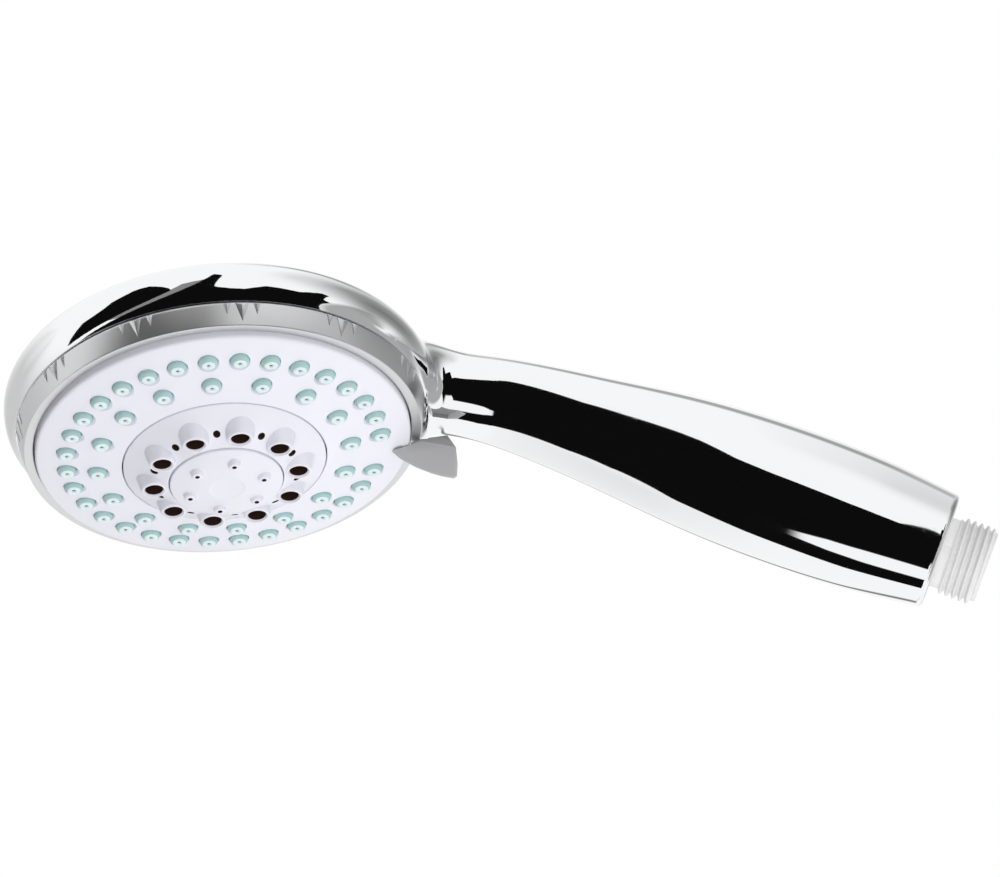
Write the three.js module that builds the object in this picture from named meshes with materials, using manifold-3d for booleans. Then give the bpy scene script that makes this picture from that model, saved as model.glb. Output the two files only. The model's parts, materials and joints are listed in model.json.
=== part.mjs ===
// Handheld shower head with a turning spray face, as an assembly of separate pieces.
// Units are millimetres. The origin is the centre of the inlet thread's end, and +Z runs up the
// handle from the inlet to the head. The spray leaves towards -Y, tilted down by FACE_TILT.
// "Face frame" means the head's own frame: its origin is on the spray axis, its +Z is the spray
// direction, its -Y points at the handle, and its X is the part's X.
import * as THREE from "three";
import { mergeVertices } from "three/addons/utils/BufferGeometryUtils.js";
import { ConvexGeometry } from "three/addons/geometries/ConvexGeometry.js";
import Module from "manifold-3d";

const wasm = await Module();
wasm.setup();

// ---------------------------------------------------------------- driving dimensions

// Inlet: a G 1/2 male parallel pipe thread.
const THREAD_R = 20.955 / 2;
const THREAD_PITCH = 1.814;
const THREAD_DEPTH = 1.16;
const STUB_LENGTH = 12.5; // from the inlet's end to the handle's end
const RELIEF_LENGTH = 2.2; // plain neck between the last thread and the handle
const INLET_BORE_R = 7;

// Handle.
const HANDLE_LENGTH = 135.8; // from the handle's end up to the neck
const HANDLE_END_R = 15.2;
const HANDLE_BELLY_R = 18.1;
const HANDLE_BELLY_AT = 44; // height of the widest place above the handle's end
const NECK_R = 11.1;
const NECK_SET = 5.6; // how far the neck lies towards the spray side of the inlet's axis
const NECK_FLARE = 3.9; // radius of the fillet between neck and head
const END_ROUND = 1.3;
const RIDGE_END_R = 20; // the ridge on the back of the head fades out at this radius

// Head shell, in the face frame.
const FACE_TILT = THREE.MathUtils.degToRad(24.5);
const HEAD_R = 55.5;
const HEAD_DEPTH = 35; // from the nozzle plane to the back of the dome
const FLANK_Z = -16.7; // height of the widest circle
const RIM_Z = -10.5; // seam between the shell and the bezel
const RIM_INSET = 2.7; // the seam's circle is this much smaller than the widest one
const NECK_Z = -19.7; // height of the handle's centreline where it meets the head
const NECK_REACH = 2.8; // from the widest circle out to the neck's centre point
const WALL = 2.2;

// Bezel and spray plate.
const BEZEL_HEIGHT = 6.15;
const BEZEL_TAPER = 1.7;
const BEZEL_BAND = 7.2; // from the widest circle in to the edge of the spray plate
const BEZEL_SPIGOT = 3; // how deep the bezel reaches into the shell
const MARK_GROUPS = 12;
const MARK_SPREAD = 4.2; // degrees from a large raised mark to the small ones beside it
const LARGE_MARK = { halfWidth: 1.7, length: 4.9 };
const SMALL_MARK = { halfWidth: 0.9, length: 3 };
const FACE_R = HEAD_R - BEZEL_BAND;
const FACE_SLOPE = 0.209; // fall of the plate's surface for each millimetre of radius
const PLATE_THICK = 2;
const SKIRT_WALL = 1.6;
const SKIRT_Z = -11.7;
const MAT_THICK = 1.5;

// Centre insert and cap.
const INSERT_R = 26.05;
const INSERT_EDGE_Z = 2.4;
const INSERT_FOOT_Z = -4.5;
const INSERT_WALL = 1.85;
const CAP_R = 14.5;
const CAP_LIP = 1.3; // ledge in the insert that the cap rests on
const LIP_Z = 6.2;
const CONE_TOP_Z = 8.4;
const CAP_TOP_Z = 10.8;

// Nozzle and jet circles: radius, how many and the angle of the first.
const PLATE_SPAN = FACE_R - INSERT_R;
const OUTER_RING = { radius: INSERT_R + 0.65 * PLATE_SPAN, count: 32, phase: 0 };
const INNER_RING = { radius: INSERT_R + 0.3 * PLATE_SPAN, count: 16, phase: 11.25 };
const TUBE_RING = { radius: CAP_R + 4.15, count: 10, phase: 5.2 };
const JET_RING = { radius: CAP_R + 4.2, count: 10, phase: 23.2 };
const CORE_RING = { radius: CAP_R - 4.5, count: 6, phase: 4.9 };
const NOZZLE_R = 2.45;
const NOZZLE_RISE = 1.25;
const TUBE_BORE_R = 2.45;
const TUBE_RIM_R = 3.15;
const TUBE_BASE_R = 4.5;
const TUBE_TOP_Z = 8.3;
const JET_BORE_R = 1.1;
const CORE_BORE_R = 0.95;

// Selector.
const LEVER_R = HEAD_R + 4.8; // radius of the lever's outer end
const LEVER_HALF_WIDTH = 3.6;
const LEVER_FOOT_Z = -4.8;
const PEG_R = 1.3; // the lever's peg through the plate and the mat
const MODE_STEP = 30; // degrees between two spray modes
const MODES = 5;
const DETENT_RADIUS = INSERT_R + 6.95;
const DETENT_ANGLE = 210;
const BALL_R = 2;
const BALL_RISE = 0.75; // how far the ball stands out of its pocket
const BALL_TRAVEL = 0.8;
const POCKET_DEPTH = 8;

// Water way.
const AXLE_R = 5;
const TUBE_OUTER_R = 4.5;
const TUBE_INNER_R = 3.4;
const SOCKET_CLEARANCE = 1.1; // round the water tube, for its seals
const SOCKET_WALL = 1.3;
const CHAMBER_R = 27;
const CHAMBER_SEAL_R = CHAMBER_R - 2.5;
const PORT_RADIUS = 15.5;
const PORT_CUP_R = 3.2;
const PLATE_RUN = 0.7; // from the spray plate's skirt back to the valve body
const VALVE_THICK = 4.2;
const CHANNEL_TOP_Z = -10;
const JET_PLATE_THICK = 1.2;
const BUSH_R = 5.6;
const BUSH_TOP_Z = 4.2;
const SEAL_SECTION = 0.45;
const AXLE_SEAL_Z = -8.2;

// Screws that hold the valve body to the shell.
const BOSS_ANGLES = [270, 30, 150];
const BOSS_R = 3.6;
const SCREW_HEAD_R = 2.9;
const SCREW_SHANK_R = 1.5;
const SCREW_LENGTH = 10;

// Inside the handle's end; heights are measured from that end.
const PLUG_LENGTH = 11.5;
const CLIP_THICK = 0.9;
const CLIP_GROOVE = 1.1;
const SOCKET_TOP = 17.5;
const TUBE_START = 7.6;

// Inside the inlet; heights are measured from the inlet's end.
const LIMITER_Z = 10.2;
const LIMITER_TOP_Z = 14;

// Clearances.
const GAP = 0.3; // between two pieces that are fastened together
const RUN = 0.35; // between two pieces that turn on each other
const OVER = 1; // how far a cutter reaches past the surface it opens

// ---------------------------------------------------------------- finishes

function finish(colour, roughness, metalness) {
  return new THREE.MeshStandardMaterial({ color: colour, roughness, metalness });
}

const chrome = finish(0xdfe2e6, 0.06, 1);
const pearlPlastic = finish(0xe9e8f4, 0.35, 0);
const greyPlastic = finish(0x9c9ca2, 0.5, 0);
const tealSilicone = finish(0xa9dcd9, 0.55, 0);
const whitePlastic = finish(0xf2f2f2, 0.45, 0);
const blackRubber = finish(0x1c1c1e, 0.8, 0);
const innerPlastic = finish(0x6b6e73, 0.6, 0);
const turbinePlastic = finish(0xd87a2c, 0.5, 0);
const brass = finish(0xb9974f, 0.3, 1);
const steel = finish(0xb4b6b8, 0.3, 1);

// ---------------------------------------------------------------- shapes

const radians = THREE.MathUtils.degToRad;

// A three.js geometry as a solid that can be joined and cut.
function solid(geometry) {
  const bare = geometry.index ? geometry.toNonIndexed() : geometry.clone();
  bare.deleteAttribute("normal");
  bare.deleteAttribute("uv");
  const merged = mergeVertices(bare, 1e-4);
  const vertProperties = new Float32Array(merged.attributes.position.array);
  const triVerts = new Uint32Array(merged.index.array);
  return new wasm.Manifold(new wasm.Mesh({ numProp: 3, vertProperties, triVerts }));
}

function geometryOf(manifold) {
  const mesh = manifold.getMesh();
  const geometry = new THREE.BufferGeometry();
  geometry.setAttribute("position", new THREE.BufferAttribute(mesh.vertProperties, 3));
  geometry.setIndex(new THREE.BufferAttribute(mesh.triVerts, 1));
  const flat = geometry.toNonIndexed();
  flat.computeVertexNormals();
  return flat;
}

// Outline points are [radius, height] pairs; the outline closes on itself or ends on the axis.
function latheGeometry(outline, sides) {
  const points = outline.map(([r, z]) => new THREE.Vector2(Math.max(r, 0), z));
  const closed = points[0].x > 0 || points.at(-1).x > 0;
  if (THREE.ShapeUtils.area(points) < 0) points.reverse();
  if (closed) points.push(points[0].clone());
  return new THREE.LatheGeometry(points, sides);
}

function turned(outline, sides = 32) {
  return solid(latheGeometry(outline, sides).rotateX(Math.PI / 2));
}

function cylinder(radius, from, to, sides = 12, topRadius = radius) {
  const geometry = new THREE.CylinderGeometry(topRadius, radius, to - from, sides);
  return geometry.rotateX(Math.PI / 2).translate(0, 0, (from + to) / 2);
}

function sealRing(radius, height, sides = 14) {
  const geometry = new THREE.TorusGeometry(radius, SEAL_SECTION, 5, sides);
  return solid(geometry.translate(0, 0, height));
}

// Angles run clockwise as the spray side is seen, from +X; 90 degrees points at the handle.
function onRing(radius, degrees) {
  return [radius * Math.cos(radians(degrees)), -radius * Math.sin(radians(degrees))];
}

function ringAngles({ count, phase }) {
  return Array.from({ length: count }, (_, i) => phase + (i * 360) / count);
}

function eachOnRing(ring, make) {
  return ringAngles(ring).map((degrees) => {
    const [x, y] = onRing(ring.radius, degrees);
    return solid(make().translate(x, y, 0));
  });
}

function joined(solids) {
  return wasm.Manifold.union(solids);
}

// A close-wound helix of wire with its axis on Z, as one tube.
function coilSpring(radius, wire, from, to, turns) {
  class Helix extends THREE.Curve {
    getPoint(t, target = new THREE.Vector3()) {
      const angle = t * turns * 2 * Math.PI;
      const height = from + wire + t * (to - from - 2 * wire);
      return target.set(radius * Math.cos(angle), radius * Math.sin(angle), height);
    }
  }
  const section = new THREE.Shape();
  section.absarc(0, 0, wire, 0, 2 * Math.PI);
  const settings = { steps: turns * 8, curveSegments: 2, extrudePath: new Helix() };
  return new THREE.ExtrudeGeometry(section, settings);
}

// ---------------------------------------------------------------- frames

// A place in the face frame's plane of symmetry, turned into the part's directions.
function turnedByTilt(y, z) {
  const sin = Math.sin(FACE_TILT);
  const cos = Math.cos(FACE_TILT);
  return [-y * sin - z * cos, y * cos - z * sin];
}

const neckPoint = [-NECK_SET, STUB_LENGTH + HANDLE_LENGTH];
const neckInFace = [-(HEAD_R + NECK_REACH), NECK_Z];
const neckOffset = turnedByTilt(...neckInFace);
const faceOrigin = [neckPoint[0] - neckOffset[0], neckPoint[1] - neckOffset[1]];

const head = new THREE.Group();
head.position.set(0, faceOrigin[0], faceOrigin[1]);
head.rotation.x = Math.PI / 2 + FACE_TILT;
head.updateMatrix();

function faceToPart(y, z) {
  const [dy, dz] = turnedByTilt(y, z);
  return new THREE.Vector3(0, faceOrigin[0] + dy, faceOrigin[1] + dz);
}

// Centreline of the handle, from its lower end into the back of the head.
const handlePath = new THREE.CatmullRomCurve3(
  [
    new THREE.Vector3(0, 0, STUB_LENGTH),
    new THREE.Vector3(0, 0, STUB_LENGTH + HANDLE_LENGTH * 0.33),
    new THREE.Vector3(0, -NECK_SET * 0.06, STUB_LENGTH + HANDLE_LENGTH * 0.64),
    new THREE.Vector3(0, -NECK_SET * 0.41, STUB_LENGTH + HANDLE_LENGTH * 0.88),
    new THREE.Vector3(0, ...neckPoint),
    faceToPart(-(HEAD_R - 9.5), NECK_Z - 2.9),
    faceToPart(-(HEAD_R - 23.5), NECK_Z - 4.3),
    faceToPart(-RIDGE_END_R, NECK_Z - 4.5),
  ],
  false,
  "centripetal",
);
const pathLength = handlePath.getLength();

// Distance along the centreline at which it is nearest to a radius of the head.
function pathAtHeadRadius(radius) {
  const steps = 400;
  let best = 0;
  let nearest = Infinity;
  for (let i = 0; i <= steps; i++) {
    const place = handlePath.getPointAt(i / steps);
    const y = (place.z - faceOrigin[1]) * Math.cos(FACE_TILT)
      - (place.y - faceOrigin[0]) * Math.sin(FACE_TILT);
    const miss = Math.abs(-y - radius);
    if (miss < nearest) {
      nearest = miss;
      best = (i / steps) * pathLength;
    }
  }
  return best;
}

const flankAt = pathAtHeadRadius(HEAD_R);
const socketR = TUBE_OUTER_R + SOCKET_CLEARANCE;
const pipeR = socketR + SOCKET_WALL;
const TUBE_SIDES = 10; // shared by the tube, its sockets and its seals, so that their facets line up
const ridgeR = pipeR + GAP + WALL; // the ridge over the pipe at its inner end

const BEND_STEP = 8; // spacing of the sections of what follows the bend

// Splits the long sides of an outline so that it can follow a bend.
function divided(outline, step) {
  const out = [];
  outline.forEach(([r, z], i) => {
    out.push([r, z]);
    const next = outline[i + 1];
    if (!next) return;
    const pieces = Math.max(1, Math.round(Math.abs(next[1] - z) / step));
    for (let k = 1; k < pieces; k++) {
      out.push([r + ((next[0] - r) * k) / pieces, z + ((next[1] - z) * k) / pieces]);
    }
  });
  return out;
}

// Turns an outline of [radius, distance along the centreline] and bends it to the handle.
function alongHandle(outline, sides = 24) {
  const geometry = latheGeometry(outline, sides);
  const position = geometry.attributes.position;
  const across = new THREE.Vector3(1, 0, 0);
  for (let i = 0; i < position.count; i++) {
    const distance = position.getY(i);
    const share = THREE.MathUtils.clamp(distance / pathLength, 0, 1);
    const place = handlePath.getPointAt(share);
    const tangent = handlePath.getTangentAt(share);
    place.addScaledVector(tangent, distance - share * pathLength);
    place.addScaledVector(across, position.getX(i));
    place.addScaledVector(across.clone().cross(tangent), position.getZ(i));
    position.setXYZ(i, place.x, place.y, place.z);
  }
  return solid(geometry);
}

// ---------------------------------------------------------------- handle and head shell

const handleCurve = new THREE.SplineCurve([
  new THREE.Vector2(0, HANDLE_END_R),
  new THREE.Vector2(HANDLE_BELLY_AT * 0.48, (HANDLE_END_R + 3.8 * HANDLE_BELLY_R) / 4.8),
  new THREE.Vector2(HANDLE_BELLY_AT, HANDLE_BELLY_R),
  new THREE.Vector2(HANDLE_BELLY_AT * 1.55, (5.7 * HANDLE_BELLY_R + NECK_R) / 6.7),
  new THREE.Vector2(HANDLE_LENGTH * 0.73, (HANDLE_BELLY_R + 1.7 * NECK_R) / 2.7),
  new THREE.Vector2(HANDLE_LENGTH * 0.92, NECK_R + 0.2),
  new THREE.Vector2(HANDLE_LENGTH, NECK_R),
]);

function handleOutline(inset, points) {
  return handleCurve.getPoints(points).map((p) => [p.y - inset, p.x]);
}

function quarterRound(centreR, centreZ, radius, fromDegrees, toDegrees, pieces) {
  return Array.from({ length: pieces + 1 }, (_, i) => {
    const angle = radians(fromDegrees + ((toDegrees - fromDegrees) * i) / pieces);
    return [centreR + radius * Math.cos(angle), centreZ + radius * Math.sin(angle)];
  });
}

// The neck widens towards the head in a hollow round.
function flareOutline() {
  const start = flankAt - NECK_FLARE;
  return quarterRound(NECK_R + NECK_FLARE, start, NECK_FLARE, 180, 100, 4).slice(1);
}

function handleSolid() {
  const rounded = quarterRound(HANDLE_END_R - END_ROUND, END_ROUND, END_ROUND, -90, 0, 3);
  const sideFrom = 2 * END_ROUND;
  const sideTo = flankAt - NECK_FLARE;
  const side = handleOutline(0, 12).filter(([, s]) => s > sideFrom && s < sideTo);
  const inHead = [
    [NECK_R, flankAt + 2],
    [ridgeR + 1.1, flankAt + 14],
    [ridgeR, pathLength - 6],
    [ridgeR - 2.9, pathLength - 1],
  ];
  const outline = [[0, 0], ...rounded, ...side, ...flareOutline(), ...inHead, [0, pathLength + 2]];
  return alongHandle(outline, 18);
}

const plugR = HANDLE_END_R - WALL - GAP;
const clipFrom = PLUG_LENGTH + GAP;

function handleHollow() {
  const boreR = plugR + GAP;
  const clipTo = clipFrom + CLIP_THICK + GAP;
  const inside = handleOutline(WALL, 9).filter(([, s]) => s > clipTo + 2);
  const outline = [
    [0, -OVER],
    [boreR, -OVER],
    [boreR, clipFrom],
    [boreR + CLIP_GROOVE, clipFrom],
    [boreR + CLIP_GROOVE, clipTo],
    ...inside,
    [NECK_R - WALL, flankAt + 4],
    [ridgeR - WALL + 1.1, flankAt + 14],
    [ridgeR - WALL, pathLength - 5],
    [0, pathLength - 4],
  ];
  return alongHandle(outline, 16);
}

// Half section of the head's dome, pulled in by an inset from its outer surface.
function domeOutline(inset, frontZ) {
  const rimR = HEAD_R - RIM_INSET - inset;
  const wideR = HEAD_R - inset;
  const shoulderR = HEAD_R - 4 - inset;
  const shoulderZ = FLANK_Z - 6.3 + inset * 0.6;
  const backZ = -HEAD_DEPTH + inset;
  const front = new THREE.QuadraticBezierCurve(
    new THREE.Vector2(rimR, RIM_Z),
    new THREE.Vector2(wideR, RIM_Z - 2),
    new THREE.Vector2(wideR, FLANK_Z),
  );
  const back = new THREE.QuadraticBezierCurve(
    new THREE.Vector2(wideR, FLANK_Z),
    new THREE.Vector2(wideR, FLANK_Z - 4.3 + inset * 0.3),
    new THREE.Vector2(shoulderR, shoulderZ),
  );
  const sagitta = shoulderZ - backZ;
  const capR = (shoulderR ** 2 + sagitta ** 2) / (2 * sagitta);
  const edge = THREE.MathUtils.radToDeg(Math.asin(shoulderR / capR));
  const cap = quarterRound(0, backZ + capR, capR, edge - 90, -90, 5);
  const flank = [...front.getPoints(3), ...back.getPoints(3)].map((p) => [p.x, p.y]);
  return [[0, frontZ], [rimR, frontZ], ...flank, ...cap.slice(1)];
}

const skirtInnerR = FACE_R - SKIRT_WALL;
const valveEdgeR = skirtInnerR - 2.5;
const valveTopZ = SKIRT_Z - PLATE_RUN;
const valveBackZ = valveTopZ - VALVE_THICK;
const bossRadius = valveEdgeR - 6.2;
const screwHoleR = SCREW_SHANK_R + GAP;

function inPart(geometry) {
  return geometry.applyMatrix4(head.matrix);
}

function domeSolid(inset, frontZ, sides) {
  const geometry = latheGeometry(domeOutline(inset, frontZ), sides);
  return solid(inPart(geometry.rotateX(Math.PI / 2)));
}

function atBosses(make) {
  return BOSS_ANGLES.map((degrees) => make().translate(...onRing(bossRadius, degrees), 0));
}

function bodyShell() {
  const rimInnerR = HEAD_R - RIM_INSET - WALL;
  const inFront = 20; // past everything on the spray side
  const outer = domeSolid(0, RIM_Z, 48).add(handleSolid());
  const hollow = domeSolid(WALL, RIM_Z + NECK_FLARE + 5, 32);
  const front = solid(inPart(cylinder(rimInnerR, RIM_Z - OVER, inFront, 48)));
  const posts = atBosses(() => cylinder(BOSS_R, -HEAD_DEPTH, valveBackZ - GAP));
  const pilots = atBosses(() => cylinder(screwHoleR, valveBackZ - SCREW_LENGTH + OVER, 0, 10));
  // The flare is cut back where the bezel and the lever pass in front of it.
  const bezelReach = HEAD_R - RIM_INSET + 2 * GAP;
  const clearBezel = solid(inPart(cylinder(bezelReach, RIM_Z + 0.05, inFront, 48)));
  const leverReach = LEVER_R + 2 * GAP - FACE_R;
  const leverRoom = new THREE.BoxGeometry(HEAD_R, leverReach, inFront);
  leverRoom.translate(0, -(FACE_R + leverReach / 2), inFront / 2 + LEVER_FOOT_Z - 2 * GAP);
  const clearLever = solid(inPart(leverRoom));
  const toPart = (geometry) => solid(inPart(geometry));
  const insidePosts = joined(posts.map(toPart)).intersect(domeSolid(0.5, RIM_Z, 32));
  return outer
    .subtract(joined([hollow, front, handleHollow()]))
    .subtract(joined([clearBezel, clearLever]))
    .add(insidePosts)
    .subtract(joined(pilots.map(toPart)));
}

// ---------------------------------------------------------------- bezel

const bezelFrontZ = RIM_Z + GAP + BEZEL_HEIGHT;
const bezelRimR = HEAD_R - RIM_INSET - 0.05;

// A raised triangle on the bezel's tapered side, with its point towards the handle's side.
function bezelMark(degrees, { halfWidth, length }) {
  const shape = new THREE.Shape();
  shape.moveTo(-halfWidth, 0);
  shape.lineTo(halfWidth, 0);
  shape.lineTo(0, length);
  const geometry = new THREE.ExtrudeGeometry(shape, { depth: 1, bevelEnabled: false });
  const lean = Math.atan2(BEZEL_TAPER, BEZEL_HEIGHT);
  // Stand the triangle on the taper with its depth outwards, then carry it round the ring.
  geometry.translate(0, 0.5, -0.5).rotateX(Math.PI / 2 - lean);
  geometry.rotateZ(Math.PI).translate(0, bezelRimR, RIM_Z + GAP);
  return solid(geometry.rotateZ(radians(-degrees - 90)));
}

function bezelRing() {
  const innerR = FACE_R + RUN;
  const spigotR = HEAD_R - RIM_INSET - WALL - GAP;
  const ring = turned(
    [
      [innerR, bezelFrontZ - 0.4],
      [innerR + 0.5, bezelFrontZ],
      [bezelRimR - BEZEL_TAPER - 0.3, bezelFrontZ],
      [bezelRimR - BEZEL_TAPER, bezelFrontZ - 0.4],
      [bezelRimR, RIM_Z + GAP],
      [spigotR, RIM_Z + GAP],
      [spigotR, RIM_Z - BEZEL_SPIGOT],
      [innerR, RIM_Z - BEZEL_SPIGOT],
    ],
    40,
  );
  const marks = [];
  for (let i = 0; i < MARK_GROUPS; i++) {
    const middle = (i * 360) / MARK_GROUPS;
    marks.push(bezelMark(middle, LARGE_MARK));
    marks.push(bezelMark(middle - MARK_SPREAD, SMALL_MARK));
    marks.push(bezelMark(middle + MARK_SPREAD, SMALL_MARK));
  }
  return ring.add(joined(marks));
}

// ---------------------------------------------------------------- spray face

function faceZ(radius) {
  return INSERT_EDGE_Z - FACE_SLOPE * (radius - INSERT_R);
}

const outerNozzleAngles = ringAngles(OUTER_RING).filter((degrees) => degrees !== 90);
const nozzlePlaces = [
  ...outerNozzleAngles.map((degrees) => [OUTER_RING.radius, degrees]),
  ...ringAngles(INNER_RING).map((degrees) => [INNER_RING.radius, degrees]),
];

function atNozzles(make) {
  return nozzlePlaces.map(([radius, degrees]) => {
    const [x, y] = onRing(radius, degrees);
    return solid(make(faceZ(radius)).translate(x, y, 0));
  });
}

const pegRadius = FACE_R - SKIRT_WALL - PEG_R;
const plateInnerR = INSERT_R + GAP;

function pegHole() {
  const [x, y] = onRing(pegRadius, 90);
  return solid(cylinder(PEG_R + GAP, SKIRT_Z, 2, 8).translate(x, y, 0));
}

function facePlate() {
  const plate = turned(
    [
      [plateInnerR, faceZ(plateInnerR)],
      [FACE_R - 0.4, faceZ(FACE_R)],
      [FACE_R, faceZ(FACE_R) - 0.4],
      [FACE_R, SKIRT_Z],
      [skirtInnerR, SKIRT_Z],
      [skirtInnerR, faceZ(skirtInnerR) - PLATE_THICK],
      [plateInnerR, faceZ(plateInnerR) - PLATE_THICK],
    ],
    40,
  );
  const holes = atNozzles((z) => cylinder(NOZZLE_R + GAP, z - 2 * PLATE_THICK, z + OVER, 6));
  return plate.subtract(joined([...holes, pegHole()]));
}

// The sheet under the plate; every nozzle stands up from it through its own hole.
function matZ(radius) {
  return faceZ(radius) - PLATE_THICK - GAP;
}

function nozzleMat() {
  const innerR = plateInnerR + 1.4;
  const outerR = skirtInnerR - GAP;
  const sheet = turned(
    [
      [innerR, matZ(innerR)],
      [outerR, matZ(outerR)],
      [outerR, matZ(outerR) - MAT_THICK],
      [innerR, matZ(innerR) - MAT_THICK],
    ],
    24,
  );
  const nozzles = atNozzles((z) => {
    const foot = z - PLATE_THICK - GAP - MAT_THICK / 2;
    const outline = [
      [0, foot],
      [NOZZLE_R, foot],
      [NOZZLE_R, z + 0.3 * NOZZLE_RISE],
      [NOZZLE_R * 0.62, z + NOZZLE_RISE],
      [0, z + NOZZLE_RISE],
    ];
    return latheGeometry(outline, 6).rotateX(Math.PI / 2);
  });
  return sheet.add(joined(nozzles)).subtract(pegHole());
}

const coneSlope = (CONE_TOP_Z - INSERT_EDGE_Z) / (INSERT_R - CAP_R);
const insertInnerR = INSERT_R - INSERT_WALL;
const seatR = CAP_R + GAP;

function coneZ(radius) {
  return CONE_TOP_Z - coneSlope * (radius - CAP_R);
}

function centreInsert() {
  const shoulder = [insertInnerR, coneZ(insertInnerR) - 2.2];
  const ledge = [CAP_R - CAP_LIP, LIP_Z - 1.4];
  const cone = turned(
    [
      [seatR, coneZ(seatR)],
      [INSERT_R, INSERT_EDGE_Z],
      [INSERT_R, INSERT_FOOT_Z],
      [insertInnerR, INSERT_FOOT_Z],
      shoulder,
      ledge,
      [CAP_R - CAP_LIP, LIP_Z],
      [seatR, LIP_Z],
    ],
    24,
  );
  const top = CAP_TOP_Z + OVER;
  const seat = solid(cylinder(seatR, LIP_Z, top, 24));
  const hood = () => cylinder(TUBE_BASE_R, INSERT_EDGE_Z + OVER, TUBE_TOP_Z, 10, TUBE_RIM_R);
  const tubes = eachOnRing(TUBE_RING, hood);
  const bores = eachOnRing(TUBE_RING, () => cylinder(TUBE_BORE_R, INSERT_FOOT_Z, top, 8));
  const jets = eachOnRing(JET_RING, () => cylinder(JET_BORE_R, INSERT_FOOT_Z, top, 5));
  const floorZ = INSERT_FOOT_Z - OVER;
  const below = turned([[0, floorZ], [insertInnerR, floorZ], shoulder, ledge, [0, ledge[1]]], 24);
  return cone
    .add(joined(tubes).subtract(joined([below, seat])))
    .subtract(joined([...bores, ...jets]));
}

function centreCap() {
  const rimZ = CONE_TOP_Z + 0.2;
  const under = LIP_Z + GAP;
  const rise = CAP_TOP_Z - rimZ;
  const domePieces = 3;
  const dome = Array.from({ length: domePieces + 1 }, (_, i) => {
    const radius = (CAP_R * i) / domePieces;
    return [radius, CAP_TOP_Z - rise * (radius / CAP_R) ** 2];
  });
  const roofZ = CAP_TOP_Z - 2.1; // over the head of the centre screw
  const recess = [[6, under], [6, roofZ], [0, roofZ]];
  const cap = turned([...dome, [CAP_R, under], ...recess], 24);
  const bumps = eachOnRing(CORE_RING, () => cylinder(2.2, roofZ - 0.7, CAP_TOP_Z + 0.1, 8, 1.5));
  const bores = eachOnRing(CORE_RING, () => cylinder(CORE_BORE_R, 0, CAP_TOP_Z + OVER, 5));
  return cap.add(joined(bumps)).subtract(joined(bores));
}

// The lever is a thin fin on the plate's edge, widest along a crease in its lower half.
function selectorLever() {
  const end = LEVER_R;
  const ridge = [
    [end - 16.6, -0.95],
    [end - 14.6, 1.3],
    [end - 10.9, 3.9],
    [end - 7, 5.85],
    [end - 4.3, 6.8],
    [end - 1.3, 7.5],
    [end - 0.5, 6.9],
    [end, 3.2],
  ];
  const crease = [
    [end - 9.2, -2.6, 0.55],
    [end - 0.6, 0.4, 1],
  ];
  const foot = [
    [end - 2, LEVER_FOOT_Z - 0.2],
    [end - 9.3, LEVER_FOOT_Z + 0.95],
  ];
  const points = [];
  const addPair = (radius, z, half) => {
    points.push(new THREE.Vector3(half, -radius, z), new THREE.Vector3(-half, -radius, z));
  };
  ridge.forEach(([radius, z]) => addPair(radius, z, 0.45));
  crease.forEach(([radius, z, share]) => addPair(radius, z, share * LEVER_HALF_WIDTH));
  foot.forEach(([radius, z]) => addPair(radius, z, 1.2));
  const fin = solid(new ConvexGeometry(points));
  const overPlate = turned(
    [
      [0, faceZ(0) + GAP],
      [FACE_R + RUN, faceZ(FACE_R) + GAP],
      [FACE_R + RUN, SKIRT_Z],
      [0, SKIRT_Z],
    ],
    48,
  );
  const overBezel = solid(cylinder(bezelRimR + 0.4, SKIRT_Z, bezelFrontZ + GAP, 56));
  const [pegX, pegY] = onRing(pegRadius, 90);
  const peg = cylinder(PEG_R, matZ(pegRadius) - MAT_THICK, 0.5, 8).translate(pegX, pegY, 0);
  return fin.subtract(joined([overPlate, overBezel])).add(solid(peg));
}

// ---------------------------------------------------------------- water way behind the face

const channelBackZ = SKIRT_Z - 0.3;
const jetPlateZ = INSERT_FOOT_Z - GAP;

function channelWall(innerR, outerR, topZ) {
  return turned(
    [
      [innerR, topZ(innerR)],
      [outerR, topZ(outerR)],
      [outerR, CHANNEL_TOP_Z - OVER],
      [innerR, CHANNEL_TOP_Z - OVER],
    ],
    24,
  );
}

// A plain ring of rectangular section.
function plainRing(innerR, outerR, from, to, sides) {
  return turned([[innerR, to], [outerR, to], [outerR, from], [innerR, from]], sides);
}

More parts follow.
